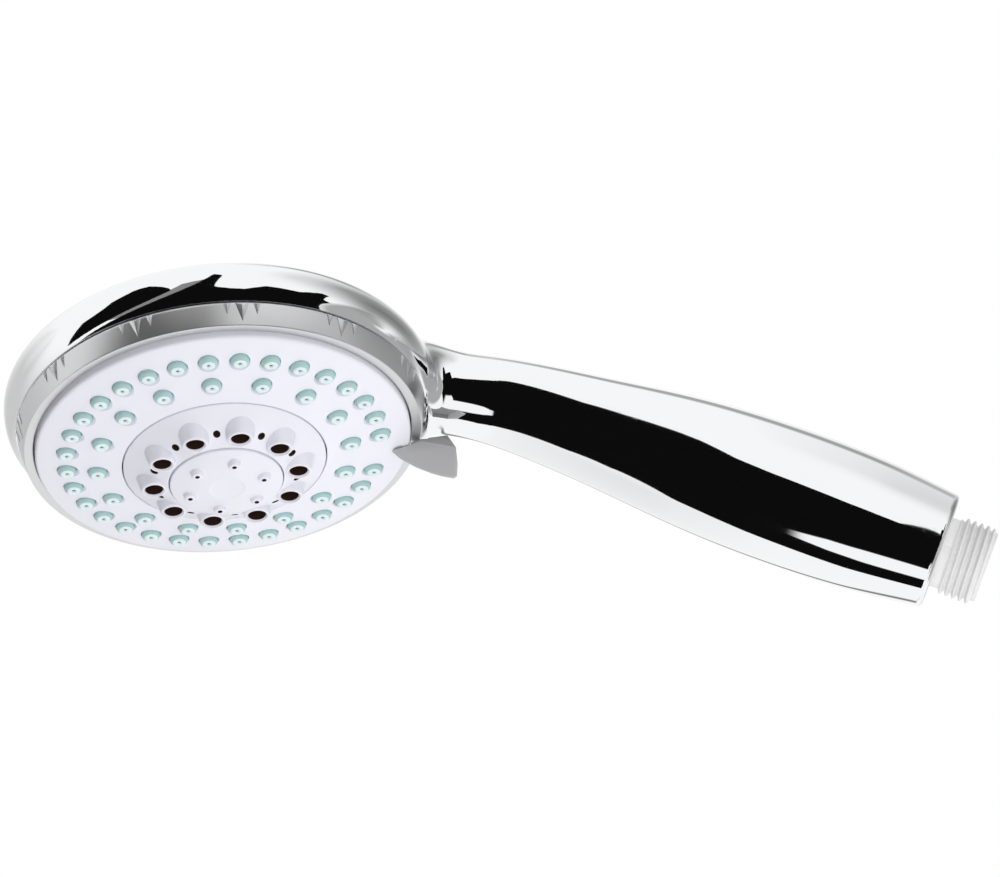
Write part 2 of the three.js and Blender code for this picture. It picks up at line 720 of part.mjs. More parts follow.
function channelPlate() {
  const edgeR = skirtInnerR - GAP;
  const hubR = AXLE_R + RUN;
  const hubTop = jetPlateZ - JET_PLATE_THICK - GAP;
  const base = plainRing(hubR, edgeR, channelBackZ, CHANNEL_TOP_Z, 32);
  const hub = plainRing(hubR, hubR + 3, channelBackZ, hubTop, 16);
  const middleR = (OUTER_RING.radius + INNER_RING.radius) / 2;
  const underMat = (radius) => matZ(radius) - MAT_THICK - GAP;
  const walls = [
    channelWall(middleR - 0.6, middleR + 0.6, underMat),
    channelWall(edgeR - 1.5, edgeR, underMat),
    channelWall(INSERT_R - 1.5, INSERT_R, () => jetPlateZ),
  ];
  const back = channelBackZ - OVER;
  const front = CHANNEL_TOP_Z + OVER;
  const massagePorts = { radius: PORT_RADIUS, count: 6, phase: 30 };
  const outerPorts = { radius: OUTER_RING.radius, count: 6, phase: 15 };
  const innerPorts = { radius: INSERT_R + 2.55, count: 4, phase: 0 };
  const ports = [
    ...eachOnRing(massagePorts, () => cylinder(2, back, front, 6)),
    ...eachOnRing(outerPorts, () => cylinder(1.6, back, front, 5)),
    ...eachOnRing(innerPorts, () => cylinder(1.2, back, front, 5)),
  ];
  // The ball runs in a groove between its dimples, one for each spray mode.
  const grooveTop = channelBackZ + BALL_RISE + 0.15;
  const groove = plainRing(DETENT_RADIUS - 1.6, DETENT_RADIUS + 1.6, back, grooveTop, 32);
  const first = DETENT_ANGLE - (MODE_STEP * (MODES - 1)) / 2;
  const dimples = Array.from({ length: MODES }, (_, i) => {
    const [x, y] = onRing(DETENT_RADIUS, first + i * MODE_STEP);
    return solid(cylinder(1.3, back, grooveTop + 0.4, 5, 0.7).translate(x, y, 0));
  });
  return base.add(joined([hub, ...walls])).subtract(joined([...ports, groove, ...dimples]));
}

function turbine() {
  const from = jetPlateZ + 0.4;
  const hubInnerR = BUSH_R + 0.4;
  const hubR = hubInnerR + 2.2;
  const rimR = insertInnerR - 2.6;
  const bladeHeight = 2.4;
  const hub = plainRing(hubInnerR, hubR, from, from + 3.4, 16);
  const rim = plainRing(rimR - 1.2, rimR, from, from + bladeHeight, 20);
  const bladeLength = rimR - hubR - 0.2;
  const blades = Array.from({ length: 8 }, (_, i) => {
    const blade = new THREE.BoxGeometry(bladeLength, 0.9, bladeHeight);
    blade.translate((rimR + hubR - 1) / 2, 0, from + bladeHeight / 2);
    return solid(blade.rotateZ((i * Math.PI) / 4));
  });
  // A half disc covers half of the jets at a time, which makes the massage pulse.
  const sector = new THREE.Shape();
  sector.absarc(0, 0, rimR - 0.6, 0, Math.PI);
  sector.absarc(0, 0, hubR - 1.2, Math.PI, 0, true);
  const shutterSettings = { depth: 0.9, bevelEnabled: false, curveSegments: 8 };
  const shutter = new THREE.ExtrudeGeometry(sector, shutterSettings).translate(0, 0, from + 1.5);
  return joined([hub, rim, solid(shutter), ...blades]);
}

const SCREW_WAY_R = 2.6; // way for the centre screw

function jetPlate() {
  const edge = insertInnerR - GAP;
  const backZ = jetPlateZ - JET_PLATE_THICK;
  const plate = turned(
    [
      [SCREW_WAY_R, BUSH_TOP_Z],
      [BUSH_R, BUSH_TOP_Z],
      [BUSH_R, jetPlateZ],
      [edge, jetPlateZ],
      [edge, backZ],
      [SCREW_WAY_R, backZ],
    ],
    24,
  );
  const slots = Array.from({ length: 6 }, (_, i) => {
    const slot = new THREE.BoxGeometry(1.6, 5, 6).rotateY(radians(35));
    return solid(slot.translate(PORT_RADIUS + 0.5, 0, jetPlateZ).rotateZ((i * Math.PI) / 3));
  });
  return plate.subtract(joined(slots));
}

const axleTopZ = jetPlateZ - JET_PLATE_THICK - GAP - 0.2;
const axleBoreR = SCREW_WAY_R - GAP;

function faceAxle() {
  const grooveR = AXLE_R - 1.2;
  const boreFloorZ = AXLE_SEAL_Z - 5;
  return turned(
    [
      [axleBoreR, axleTopZ],
      [AXLE_R, axleTopZ],
      [AXLE_R, AXLE_SEAL_Z + 0.8],
      [grooveR, AXLE_SEAL_Z + 0.8],
      [grooveR, AXLE_SEAL_Z - 0.8],
      [AXLE_R, AXLE_SEAL_Z - 0.8],
      [AXLE_R, valveBackZ - GAP],
      [AXLE_R + 3, valveBackZ - GAP],
      [AXLE_R + 3, valveBackZ - 2],
      [0, valveBackZ - 2],
      [0, boreFloorZ],
      [axleBoreR, boreFloorZ],
    ],
    16,
  );
}

const washerZ = BUSH_TOP_Z + GAP;
const WASHER_THICK = 0.8;

function centreScrew() {
  const headZ = washerZ + WASHER_THICK + GAP;
  const headTopZ = headZ + 2.2;
  const shankR = axleBoreR - GAP;
  const endZ = AXLE_SEAL_Z - 4;
  const screwHead = [[0, headTopZ], [3.4, headTopZ], [4, headZ + 1.4], [4, headZ]];
  const screw = turned([...screwHead, [shankR, headZ], [shankR, endZ], [0, endZ]], 16);
  const bars = [0, Math.PI / 2].map((angle) => {
    return solid(new THREE.BoxGeometry(4.4, 0.9, 2.4).rotateZ(angle).translate(0, 0, headTopZ));
  });
  return screw.subtract(joined(bars));
}

function centreWasher() {
  return plainRing(axleBoreR + 0.1, 5, washerZ, washerZ + WASHER_THICK, 16);
}

const PORT_POCKET = { radius: PORT_RADIUS, count: 2, phase: 0 };
const cupSeatZ = valveTopZ - 3.4;
const pocketFloorZ = valveTopZ - POCKET_DEPTH;

function valveBody() {
  const sealOuterR = CHAMBER_SEAL_R + 0.8;
  const sealInnerR = CHAMBER_SEAL_R - 0.8;
  const disc = turned(
    [
      [AXLE_R + GAP, valveTopZ],
      [valveEdgeR, valveTopZ],
      [valveEdgeR, valveBackZ],
      [sealOuterR, valveBackZ],
      [sealOuterR, valveBackZ + 1.1],
      [sealInnerR, valveBackZ + 1.1],
      [sealInnerR, valveBackZ],
      [AXLE_R + GAP, valveBackZ],
    ],
    28,
  );
  const front = valveTopZ + OVER;
  const back = valveBackZ - OVER;
  const [dx, dy] = onRing(DETENT_RADIUS, DETENT_ANGLE);
  const boss = cylinder(BALL_R + 2, pocketFloorZ - 1.2, valveTopZ - OVER).translate(dx, dy, 0);
  const pocket = cylinder(BALL_R + GAP, pocketFloorZ, front).translate(dx, dy, 0);
  const cups = eachOnRing(PORT_POCKET, () => cylinder(PORT_CUP_R + GAP, cupSeatZ, front));
  const ways = eachOnRing(PORT_POCKET, () => cylinder(1.9, back, valveTopZ, 10));
  const shankHoles = atBosses(() => cylinder(screwHoleR, back, valveTopZ, 10));
  const headHoles = atBosses(() => cylinder(SCREW_HEAD_R + GAP, valveTopZ - 2.4, front));
  const screwHoles = [...shankHoles, ...headHoles].map(solid);
  return disc.add(solid(boss)).subtract(joined([solid(pocket), ...cups, ...ways, ...screwHoles]));
}

function detentBall() {
  const [x, y] = onRing(DETENT_RADIUS, DETENT_ANGLE);
  const ball = new THREE.SphereGeometry(BALL_R, 10, 8);
  return solid(ball.translate(x, y, valveTopZ - BALL_R + BALL_RISE));
}

// The spring has the ball's travel free below it, so that it can move with the ball.
function detentSpring() {
  const [x, y] = onRing(DETENT_RADIUS, DETENT_ANGLE);
  const top = valveTopZ - 2 * BALL_R + BALL_RISE - 0.1;
  const spring = coilSpring(BALL_R - 0.55, 0.3, pocketFloorZ + BALL_TRAVEL + 0.2, top, 4);
  return solid(spring.translate(x, y, 0));
}

function portCup(index) {
  const [x, y] = onRing(PORT_RADIUS, ringAngles(PORT_POCKET)[index]);
  const top = valveTopZ + 0.1;
  return plainRing(1.9, PORT_CUP_R, top - 2, top, 14).translate([x, y, 0]);
}

function portSpring(index) {
  const [x, y] = onRing(PORT_RADIUS, ringAngles(PORT_POCKET)[index]);
  const spring = coilSpring(PORT_CUP_R - 0.6, 0.25, cupSeatZ + 0.1, valveTopZ - 2, 2);
  return solid(spring.translate(x, y, 0));
}

function machineScrew(radius, degrees, headZ, length) {
  const [x, y] = onRing(radius, degrees);
  const neckZ = headZ - 1.5;
  const screwHead = [[0, headZ], [SCREW_HEAD_R - 0.5, headZ], [SCREW_HEAD_R, headZ - 0.5]];
  const shank = [[SCREW_SHANK_R, neckZ], [SCREW_SHANK_R, headZ - length + 1], [0, headZ - length]];
  const screw = turned([...screwHead, [SCREW_HEAD_R, neckZ], ...shank], 10);
  const slot = solid(new THREE.BoxGeometry(3.2, 0.7, 1.4).translate(0, 0, headZ));
  return screw.subtract(slot).translate([x, y, 0]);
}

const socketFrom = pathAtHeadRadius(HEAD_R - 11.5);
const socketTo = pathAtHeadRadius(CHAMBER_R - 1);
const tubeEnd = pathAtHeadRadius(CHAMBER_R + 4);

// A round bar that follows the handle's centreline.
function barAlongHandle(radius, from, to, sides) {
  const outline = [[0, from], [radius, from], [radius, to], [0, to]];
  return alongHandle(divided(outline, BEND_STEP), sides);
}

function chamberCover() {
  const floorZ = -HEAD_DEPTH + WALL + 5.8;
  const topZ = valveBackZ - 0.4;
  const full = solid(inPart(cylinder(CHAMBER_R, floorZ, topZ, 28)));
  const inside = solid(inPart(cylinder(CHAMBER_R - 4.6, floorZ + 2, topZ + OVER, 24)));
  const pipe = barAlongHandle(pipeR, socketFrom, socketTo, 14);
  const room = 200; // wider than the head
  const above = solid(inPart(new THREE.BoxGeometry(room, room, room).translate(0, 0, topZ + room / 2)));
  const boreTo = tubeEnd + GAP;
  const socket = barAlongHandle(socketR, socketFrom - OVER, boreTo, TUBE_SIDES);
  const way = barAlongHandle(TUBE_INNER_R, boreTo - OVER, socketTo + 5, TUBE_SIDES);
  return full.add(pipe).subtract(joined([inside, above, socket, way]));
}

// ---------------------------------------------------------------- handle internals and inlet

function waterTube() {
  const outline = [
    [TUBE_INNER_R, TUBE_START],
    [TUBE_OUTER_R, TUBE_START],
    [TUBE_OUTER_R, tubeEnd],
    [TUBE_INNER_R, tubeEnd],
    [TUBE_INNER_R, TUBE_START],
  ];
  return alongHandle(divided(outline, BEND_STEP).slice(0, -1), TUBE_SIDES);
}

function tubeSeal(distance) {
  const middleR = TUBE_OUTER_R + SOCKET_CLEARANCE / 2;
  const ring = quarterRound(middleR, distance, SOCKET_CLEARANCE / 2 - 0.15, 0, 300, 5);
  return alongHandle(ring, TUBE_SIDES);
}

const plugSealZ = STUB_LENGTH + GAP + 7.75;

function inletConnector() {
  const from = STUB_LENGTH + GAP;
  const to = STUB_LENGTH + PLUG_LENGTH;
  const rootR = THREAD_R - THREAD_DEPTH;
  const grooveFrom = plugSealZ - 0.75;
  const grooveTo = plugSealZ + 0.75;
  const tubeZ = STUB_LENGTH + TUBE_START - 0.4;
  const body = turned(
    [
      [INLET_BORE_R, 0],
      [rootR, 0],
      [rootR, from],
      [plugR, from],
      [plugR, grooveFrom],
      [plugR - 1.3, grooveFrom],
      [plugR - 1.3, grooveTo],
      [plugR, grooveTo],
      [plugR, to],
      [pipeR, to],
      [pipeR, STUB_LENGTH + SOCKET_TOP],
      [socketR, STUB_LENGTH + SOCKET_TOP],
      [socketR, tubeZ],
      [TUBE_INNER_R, tubeZ],
      [TUBE_INNER_R, LIMITER_TOP_Z],
      [INLET_BORE_R, LIMITER_TOP_Z],
    ],
    20,
  );
  return body.add(threadSleeve(rootR - 0.6));
}

// A helical thread: the wall of a sleeve, pushed in and out by a wave that climbs with the angle.
function threadSleeve(innerR) {
  const from = 0.6;
  const to = STUB_LENGTH - RELIEF_LENGTH;
  const perTurn = 4;
  const runOut = 0.8; // the thread fades in and out over this height
  const rows = Math.round(((to - from) / THREAD_PITCH) * perTurn);
  const outline = [[innerR, from]];
  for (let i = 0; i <= rows; i++) {
    outline.push([THREAD_R, from + ((to - from) * i) / rows]);
  }
  outline.push([innerR, to]);
  const geometry = latheGeometry(outline, 20).rotateX(Math.PI / 2);
  const position = geometry.attributes.position;
  for (let i = 0; i < position.count; i++) {
    const x = position.getX(i);
    const y = position.getY(i);
    const z = position.getZ(i);
    const radius = Math.hypot(x, y);
    if (radius < THREAD_R - 0.1) continue;
    const turn = (z / THREAD_PITCH + Math.atan2(y, x) / (2 * Math.PI) + 100) % 1;
    const fade = Math.min(1, (z - from) / runOut, (to - z) / runOut);
    const depth = THREAD_DEPTH * (1 - fade * (1 - Math.abs(2 * turn - 1)));
    const scale = (THREAD_R - depth * 0.98) / radius;
    position.setXY(i, x * scale, y * scale);
  }
  return solid(geometry);
}

function connectorClip() {
  const shape = new THREE.Shape();
  const opening = radians(30);
  shape.absarc(0, 0, plugR + 1, opening, 2 * Math.PI - opening);
  shape.absarc(0, 0, plugR - 2.2, 2 * Math.PI - opening, opening, true);
  const settings = { depth: CLIP_THICK, bevelEnabled: false, curveSegments: 14 };
  const flat = new THREE.ExtrudeGeometry(shape, settings);
  return solid(flat.translate(0, 0, STUB_LENGTH + clipFrom + GAP / 2));
}

function flowLimiter() {
  const edge = INLET_BORE_R - GAP;
  const from = LIMITER_Z;
  const to = LIMITER_TOP_Z - GAP;
  const body = turned(
    [
      [0, from],
      [edge, from],
      [edge, from + 1],
      [edge - 1.2, from + 1],
      [edge - 1.2, from + 2.4],
      [edge, from + 2.4],
      [edge, to],
      [0, to],
    ],
    16,
  );
  const wayRing = { radius: 2.9, count: 5, phase: 0 };
  const ways = eachOnRing(wayRing, () => cylinder(0.9, from - OVER, to + OVER, 5));
  return body.subtract(joined(ways));
}

function filterScreen() {
  const edge = INLET_BORE_R - GAP;
  const to = LIMITER_Z - GAP;
  const disc = turned([[0, to - 1.1], [edge, to - 1.1], [edge, to], [0, to]], 16);
  const rings = [{ radius: 2.2, count: 5, phase: 0 }, { radius: 4.6, count: 8, phase: 18 }];
  const holes = rings.flatMap((ring) => eachOnRing(ring, () => cylinder(0.7, to - 3, to + OVER, 4)));
  return disc.subtract(joined(holes));
}

// ---------------------------------------------------------------- assembly

const shower = new THREE.Group();
shower.add(head);

function place(group, name, manifold, material) {
  const mesh = new THREE.Mesh(geometryOf(manifold), material);
  mesh.name = name;
  group.add(mesh);
}

place(shower, "body_shell", bodyShell(), chrome);
place(shower, "chamber_cover", chamberCover(), innerPlastic);
place(shower, "water_tube", waterTube(), innerPlastic);
place(shower, "tube_seal_head", tubeSeal(socketFrom + 2.5), blackRubber);
place(shower, "tube_seal_inlet", tubeSeal(SOCKET_TOP - 2.5), blackRubber);
place(shower, "inlet_connector", inletConnector(), whitePlastic);
place(shower, "connector_seal", sealRing(plugR - 0.45, plugSealZ), blackRubber);
place(shower, "connector_clip", connectorClip(), steel);
place(shower, "flow_limiter", flowLimiter(), innerPlastic);
place(shower, "limiter_seal", sealRing(INLET_BORE_R - GAP - 0.5, LIMITER_Z + 1.7), blackRubber);
place(shower, "filter_screen", filterScreen(), steel);

place(head, "bezel_ring", bezelRing(), chrome);
place(head, "valve_body", valveBody(), innerPlastic);
place(head, "chamber_seal", sealRing(CHAMBER_SEAL_R, valveBackZ + 0.35, 24), blackRubber);
place(head, "face_axle", faceAxle(), brass);
place(head, "axle_seal", sealRing(AXLE_R - 0.35, AXLE_SEAL_Z), blackRubber);
place(head, "centre_screw", centreScrew(), steel);
place(head, "centre_washer", centreWasher(), steel);
place(head, "detent_ball", detentBall(), steel);
place(head, "detent_spring", detentSpring(), steel);
for (let i = 0; i < PORT_POCKET.count; i++) {
  place(head, `port_seal_${i + 1}`, portCup(i), blackRubber);
  place(head, `port_spring_${i + 1}`, portSpring(i), steel);
}
BOSS_ANGLES.forEach((degrees, i) => {
  const screw = machineScrew(bossRadius, degrees, valveTopZ - 2 * GAP, SCREW_LENGTH);
  place(head, `valve_screw_${i + 1}`, screw, steel);
});

place(head, "face_plate", facePlate(), pearlPlastic);
place(head, "nozzle_mat", nozzleMat(), tealSilicone);
place(head, "centre_insert", centreInsert(), pearlPlastic);
place(head, "centre_cap", centreCap(), pearlPlastic);
place(head, "selector_lever", selectorLever(), greyPlastic);
place(head, "channel_plate", channelPlate(), innerPlastic);
place(head, "jet_plate", jetPlate(), innerPlastic);
place(head, "turbine", turbine(), turbinePlastic);

export default shower;
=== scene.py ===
"""Looks of a handheld shower head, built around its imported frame.

Lengths in the outlines are millimetres. "Face frame" means the head's own frame: its origin is on the
spray axis, +Z is the spray direction and -Y points at the handle.
"""

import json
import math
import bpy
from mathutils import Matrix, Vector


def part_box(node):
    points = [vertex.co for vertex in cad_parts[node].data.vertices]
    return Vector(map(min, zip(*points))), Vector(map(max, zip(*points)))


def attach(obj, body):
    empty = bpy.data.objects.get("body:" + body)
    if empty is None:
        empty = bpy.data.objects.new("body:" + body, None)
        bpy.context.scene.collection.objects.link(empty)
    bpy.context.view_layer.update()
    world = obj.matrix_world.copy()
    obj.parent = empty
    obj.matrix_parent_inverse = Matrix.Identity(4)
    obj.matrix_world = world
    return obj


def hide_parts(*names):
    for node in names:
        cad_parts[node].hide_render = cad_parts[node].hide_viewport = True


bl_info = {
    "name": "Handheld shower head",
    "version": (1, 0, 0),
    "blender": (4, 5, 0),
    "location": "3D View > Sidebar > Shower",
    "description": "Builds the shell, spray face, inlet and inner pieces of a hand shower",
    "category": "Add Mesh",
}

import bmesh
import bpy
import numpy as np
from bpy.props import FloatProperty, FloatVectorProperty, IntProperty, PointerProperty
from mathutils import Matrix, Vector

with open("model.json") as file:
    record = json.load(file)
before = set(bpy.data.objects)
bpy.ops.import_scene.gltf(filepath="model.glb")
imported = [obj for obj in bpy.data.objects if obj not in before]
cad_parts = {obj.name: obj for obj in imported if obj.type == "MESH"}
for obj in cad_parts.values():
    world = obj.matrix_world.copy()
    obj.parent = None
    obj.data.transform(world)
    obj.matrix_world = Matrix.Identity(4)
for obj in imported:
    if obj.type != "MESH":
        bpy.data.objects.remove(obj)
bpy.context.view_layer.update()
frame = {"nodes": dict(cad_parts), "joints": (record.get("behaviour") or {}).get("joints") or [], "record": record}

MM = 0.001
TURN = 2 * math.pi


def half_width(node):
    """Half of a frame node's size across, in millimetres."""
    low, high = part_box(node)
    return (high.x - low.x) / 2 / MM


FACE_JOINT = next(j for j in frame["joints"] if j["name"] == "face_turn")
SPRAY = Vector(FACE_JOINT["axis"]).normalized()
FACE_ORIGIN = Vector(FACE_JOINT["pos_m"]) / MM
FACE_UP = SPRAY.cross(Vector((1, 0, 0)))
FACE_TILT = math.asin(-SPRAY.z)
FACE_AXES = Matrix((Vector((1, 0, 0)), FACE_UP, SPRAY)).transposed().to_4x4()
FROM_FACE = Matrix.Translation(FACE_ORIGIN) @ FACE_AXES
TO_METRES = Matrix.Scale(MM, 4)
HANDLE_END_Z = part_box("body_shell")[0].z / MM
HEAD_R = half_width("body_shell")
FACE_R = half_width("face_plate")
INSERT_R = half_width("centre_insert")
CAP_R = half_width("centre_cap")

# Clearances between pieces, and the even faces of the shell.
GAP = 0.3
TURNING_GAP = 0.35
PEG_GAP = 0.08
VOXEL, QUICK_VOXEL = 0.8, 1.6


# ---------------------------------------------------------------- sizes and colours


def length(name, millimetres, description):
    """A length property with its default in metres."""
    return FloatProperty(
        name=name, description=description, default=millimetres * MM, unit="LENGTH", precision=5
    )


def colour(name, rgb, description):
    """A colour property."""
    return FloatVectorProperty(
        name=name, description=description, default=rgb, subtype="COLOR", size=3, min=0, max=1
    )


class ShellSizes(bpy.types.PropertyGroup):
    """Handle, dome and bezel."""

    handle_length: length("Handle length", 135.8, "From the handle's end up to the neck")
    end_radius: length("End radius", 15.2, "Radius of the handle at its lower end")
    belly_radius: length("Belly radius", 18.1, "Largest radius of the handle")
    belly_height: length("Belly height", 44, "Height of the belly above the handle's end")
    neck_radius: length("Neck radius", 11.1, "Radius where the handle meets the head")
    neck_set: length("Neck set", 5.6, "How far the neck lies towards the spray side")
    neck_flatness: FloatProperty(
        name="Neck flatness", default=0.14, description="How much wider than round the neck is"
    )
    end_round: length("End round", 1.3, "Rounding of the handle's lower edge")
    wall: length("Wall", 2.2, "Thickness of the moulded shell")
    depth: length("Head depth", 35, "From the nozzle plane to the back of the dome")
    bezel_height: length("Bezel height", 6.15, "Height of the tapered side of the bezel")
    bezel_taper: length("Bezel taper", 1.7, "How much smaller the bezel is at the front")
    mark_groups: IntProperty(name="Mark groups", default=12, description="Groups of raised marks")


class FaceSizes(bpy.types.PropertyGroup):
    """Spray plate, nozzles, insert and cap."""

    nozzle_radius: length("Nozzle radius", 2.45, "Radius of a soft nozzle")
    nozzle_rise: length("Nozzle rise", 1.25, "How far a nozzle stands above the plate")
    tube_bore: length("Tube bore", 2.45, "Radius of the way through a massage tube")
    tube_rim: length("Tube rim", 3.15, "Outer radius at the top of a massage tube")
    tube_base: length("Tube base", 4.5, "Outer radius at the foot of a massage tube")
    outer_nozzles: IntProperty(name="Outer nozzles", default=32, description="Places on the outer circle")
    inner_nozzles: IntProperty(name="Inner nozzles", default=16, description="Nozzles on the inner circle")
    tubes: IntProperty(name="Tubes", default=10, description="Massage tubes round the cap")
    core_jets: IntProperty(name="Core jets", default=6, description="Small jets in the cap")


class Finishes(bpy.types.PropertyGroup):
    """Colours of the outside."""

    chrome: colour("Chrome", (0.92, 0.925, 0.935), "Plated shell and bezel")
    pearl: colour("Pearl", (0.86, 0.855, 0.93), "Spray plate and insert")
    silicone: colour("Silicone", (0.42, 0.62, 0.62), "Soft nozzles")
    # The nozzle tops are painted paler than their teal sides: a painted highlight where the tops face the front
    # light.
    tip: colour("Nozzle tip", (0.76, 0.87, 0.88), "Thin middle of the soft nozzles")
    lever: colour("Lever", (0.47, 0.47, 0.48), "Selector lever")
    inlet: colour("Inlet", (0.88, 0.88, 0.88), "Threaded inlet")
    # Bore: the walls of the tubes and jet holes are painted near-black, painted shade for the darkness inside the
    # holes.
    bore: colour("Bore", (0.05, 0.025, 0.018), "Inside of the massage tubes")


def sizes_in_mm(group):
    """The lengths of a property group in millimetres, and its counts, as attributes."""
    values = {}
    for prop in group.bl_rna.properties:
        if prop.type in ("FLOAT", "INT") and not prop.is_array:
            value = getattr(group, prop.identifier)
            values[prop.identifier] = value / MM if prop.unit == "LENGTH" else value
    return type("Sizes", (), values)


# ---------------------------------------------------------------- node graphs


class Value:
    """What a node puts out, usable in expressions."""

    def __init__(self, graph, socket):
        self.graph = graph
        self.socket = socket

    def maths(self, operation, other, swap=False):
        left, right = (other, self) if swap else (self, other)
        return self.graph.add("ShaderNodeMath", {"operation": operation}, {0: left, 1: right})

    def __add__(self, other):
        return self.maths("ADD", other)

    def __sub__(self, other):
        return self.maths("SUBTRACT", other)

    def __rsub__(self, other):
        return self.maths("SUBTRACT", other, swap=True)

    def __mul__(self, other):
        return self.maths("MULTIPLY", other)

    def __truediv__(self, other):
        return self.maths("DIVIDE", other)

    def __rtruediv__(self, other):
        return self.maths("DIVIDE", other, swap=True)

    __radd__ = __add__
    __rmul__ = __mul__


class Graph:
    """A node tree that is written as calls."""

    def __init__(self, tree):
        self.tree = tree

    def add(self, kind, settings=None, inputs=None, output=0):
        """Adds a node, sets it up and returns one of its outputs."""
        node = self.tree.nodes.new(kind)
        for name, value in (settings or {}).items():
            if name == "stops":
                self.set_stops(node.color_ramp, value)
            else:
                setattr(node, name, value)
        for key, value in (inputs or {}).items():
            self.feed(node.inputs[key], value)
        return Value(self, node.outputs[output]) if node.outputs else node

    @staticmethod
    def set_stops(ramp, stops):
        while len(ramp.elements) < len(stops):
            ramp.elements.new(1)
        for element, (place, rgb) in zip(ramp.elements, stops):
            element.position = place
            element.color = (*rgb, 1)

    def feed(self, socket, value):
        if isinstance(value, Value):
            self.tree.links.new(value.socket, socket)
        elif socket.type == "RGBA" and len(value) == 3:
            socket.default_value = (*value, 1)
        else:
            socket.default_value = value

    def mix(self, factor, dark, light):
        """Goes from one colour to another with a factor."""
        return self.add("ShaderNodeMix", {"data_type": "RGBA"}, {0: factor, 6: dark, 7: light}, output=2)

    def noise(self, scale, detail=2.0, stretch=(1, 1, 1)):
        """Noise on the piece's own coordinates, with its scale in features for each metre."""
        place = self.add("ShaderNodeTexCoord", output=3)
        place = self.add("ShaderNodeMapping", None, {"Vector": place, "Scale": stretch})
        return self.add("ShaderNodeTexNoise", None, {"Vector": place, "Scale": scale, "Detail": detail})

    def ramp(self, value, stops):
        """Maps a number onto greys."""
        greys = [(place, (grey, grey, grey)) for place, grey in stops]
        return self.add("ShaderNodeValToRGB", {"stops": greys}, {0: value})


def material(name, make, **fixed):
    """A Principled material. make(graph) returns the sockets that vary; fixed are constants."""
    made = bpy.data.materials.new(name)
    made.use_nodes = True
    graph = Graph(made.node_tree)
    shader = made.node_tree.nodes["Principled BSDF"]
    for key, value in {**fixed, **make(graph)}.items():
        graph.feed(shader.inputs[key.replace("_", " ").title().replace("Ior", "IOR")], value)
    return made


def bumped(graph, height, strength, distance):
    """A normal that follows a height."""
    return graph.add("ShaderNodeBump", None, {"Strength": strength, "Distance": distance, "Height": height})


def chrome_finish(tint, roughness, spots):
    """Bright plating over moulded plastic: faint waves, dried drops and hairline scratches."""

    def make(graph):
        smudge = graph.noise(55, 3)
        drops = graph.ramp(graph.noise(420, 1), [(0.70, 0), (0.76, 1)])
        hairs = graph.ramp(graph.noise(900, 2, (1, 1, 0.06)), [(0.66, 0), (0.72, 1)])
        shade = graph.ramp(graph.noise(30, 2), [(0.35, 0), (0.7, 1)])
        waves = graph.noise(60, 1) * 0.7 + graph.noise(1600, 1) * 0.02
        return {
            "base_color": graph.mix(shade, [c * 0.985 for c in tint], tint),
            "roughness": roughness + smudge * 0.03 + drops * spots + hairs * 0.03,
            "normal": bumped(graph, waves, 0.1, 0.00002),
        }

    return make


def plastic_finish(tint, roughness, grain, depth):
    """Moulded plastic: a fine grain, and slight changes of colour and gloss."""

    def make(graph):
        cloud = graph.noise(40, 3)
        fine = graph.noise(grain, 2)
        worn = graph.ramp(graph.noise(140, 2), [(0.6, 0), (0.8, 1)])
        return {
            "base_color": graph.mix(cloud, [c * 0.97 for c in tint], [min(1, c * 1.02) for c in tint]),
            "roughness": roughness + fine * 0.08 + worn * 0.05,
            "normal": bumped(graph, fine, 0.25, depth),
        }

    return make


def rubber_finish(tint, roughness, depth=0.00004):
    """Moulded rubber: matte, with a fine speckle and faint chalking."""

    def make(graph):
        fine = graph.noise(2600, 2)
        chalk = graph.ramp(graph.noise(220, 3), [(0.55, 0), (0.85, 1)])
        return {
            "base_color": graph.mix(chalk, tint, [min(1, c * 0.94 + 0.05) for c in tint]),
            "roughness": roughness + fine * 0.12,
            "normal": bumped(graph, fine, 0.3, depth),
        }

    return make


def turned_metal_finish(tint, roughness):
    """Machined metal: fine turning lines along Z and light tarnish."""

    def make(graph):
        lines = graph.noise(1800, 2, (0.15, 0.15, 1))
        tarnish = graph.noise(90, 3)
        return {
            "base_color": graph.mix(tarnish, [c * 0.86 for c in tint], tint),
            "roughness": roughness + lines * 0.14 + tarnish * 0.05,
            "normal": bumped(graph, lines, 0.2, 0.00003),
        }

    return make


MATERIALS = {}


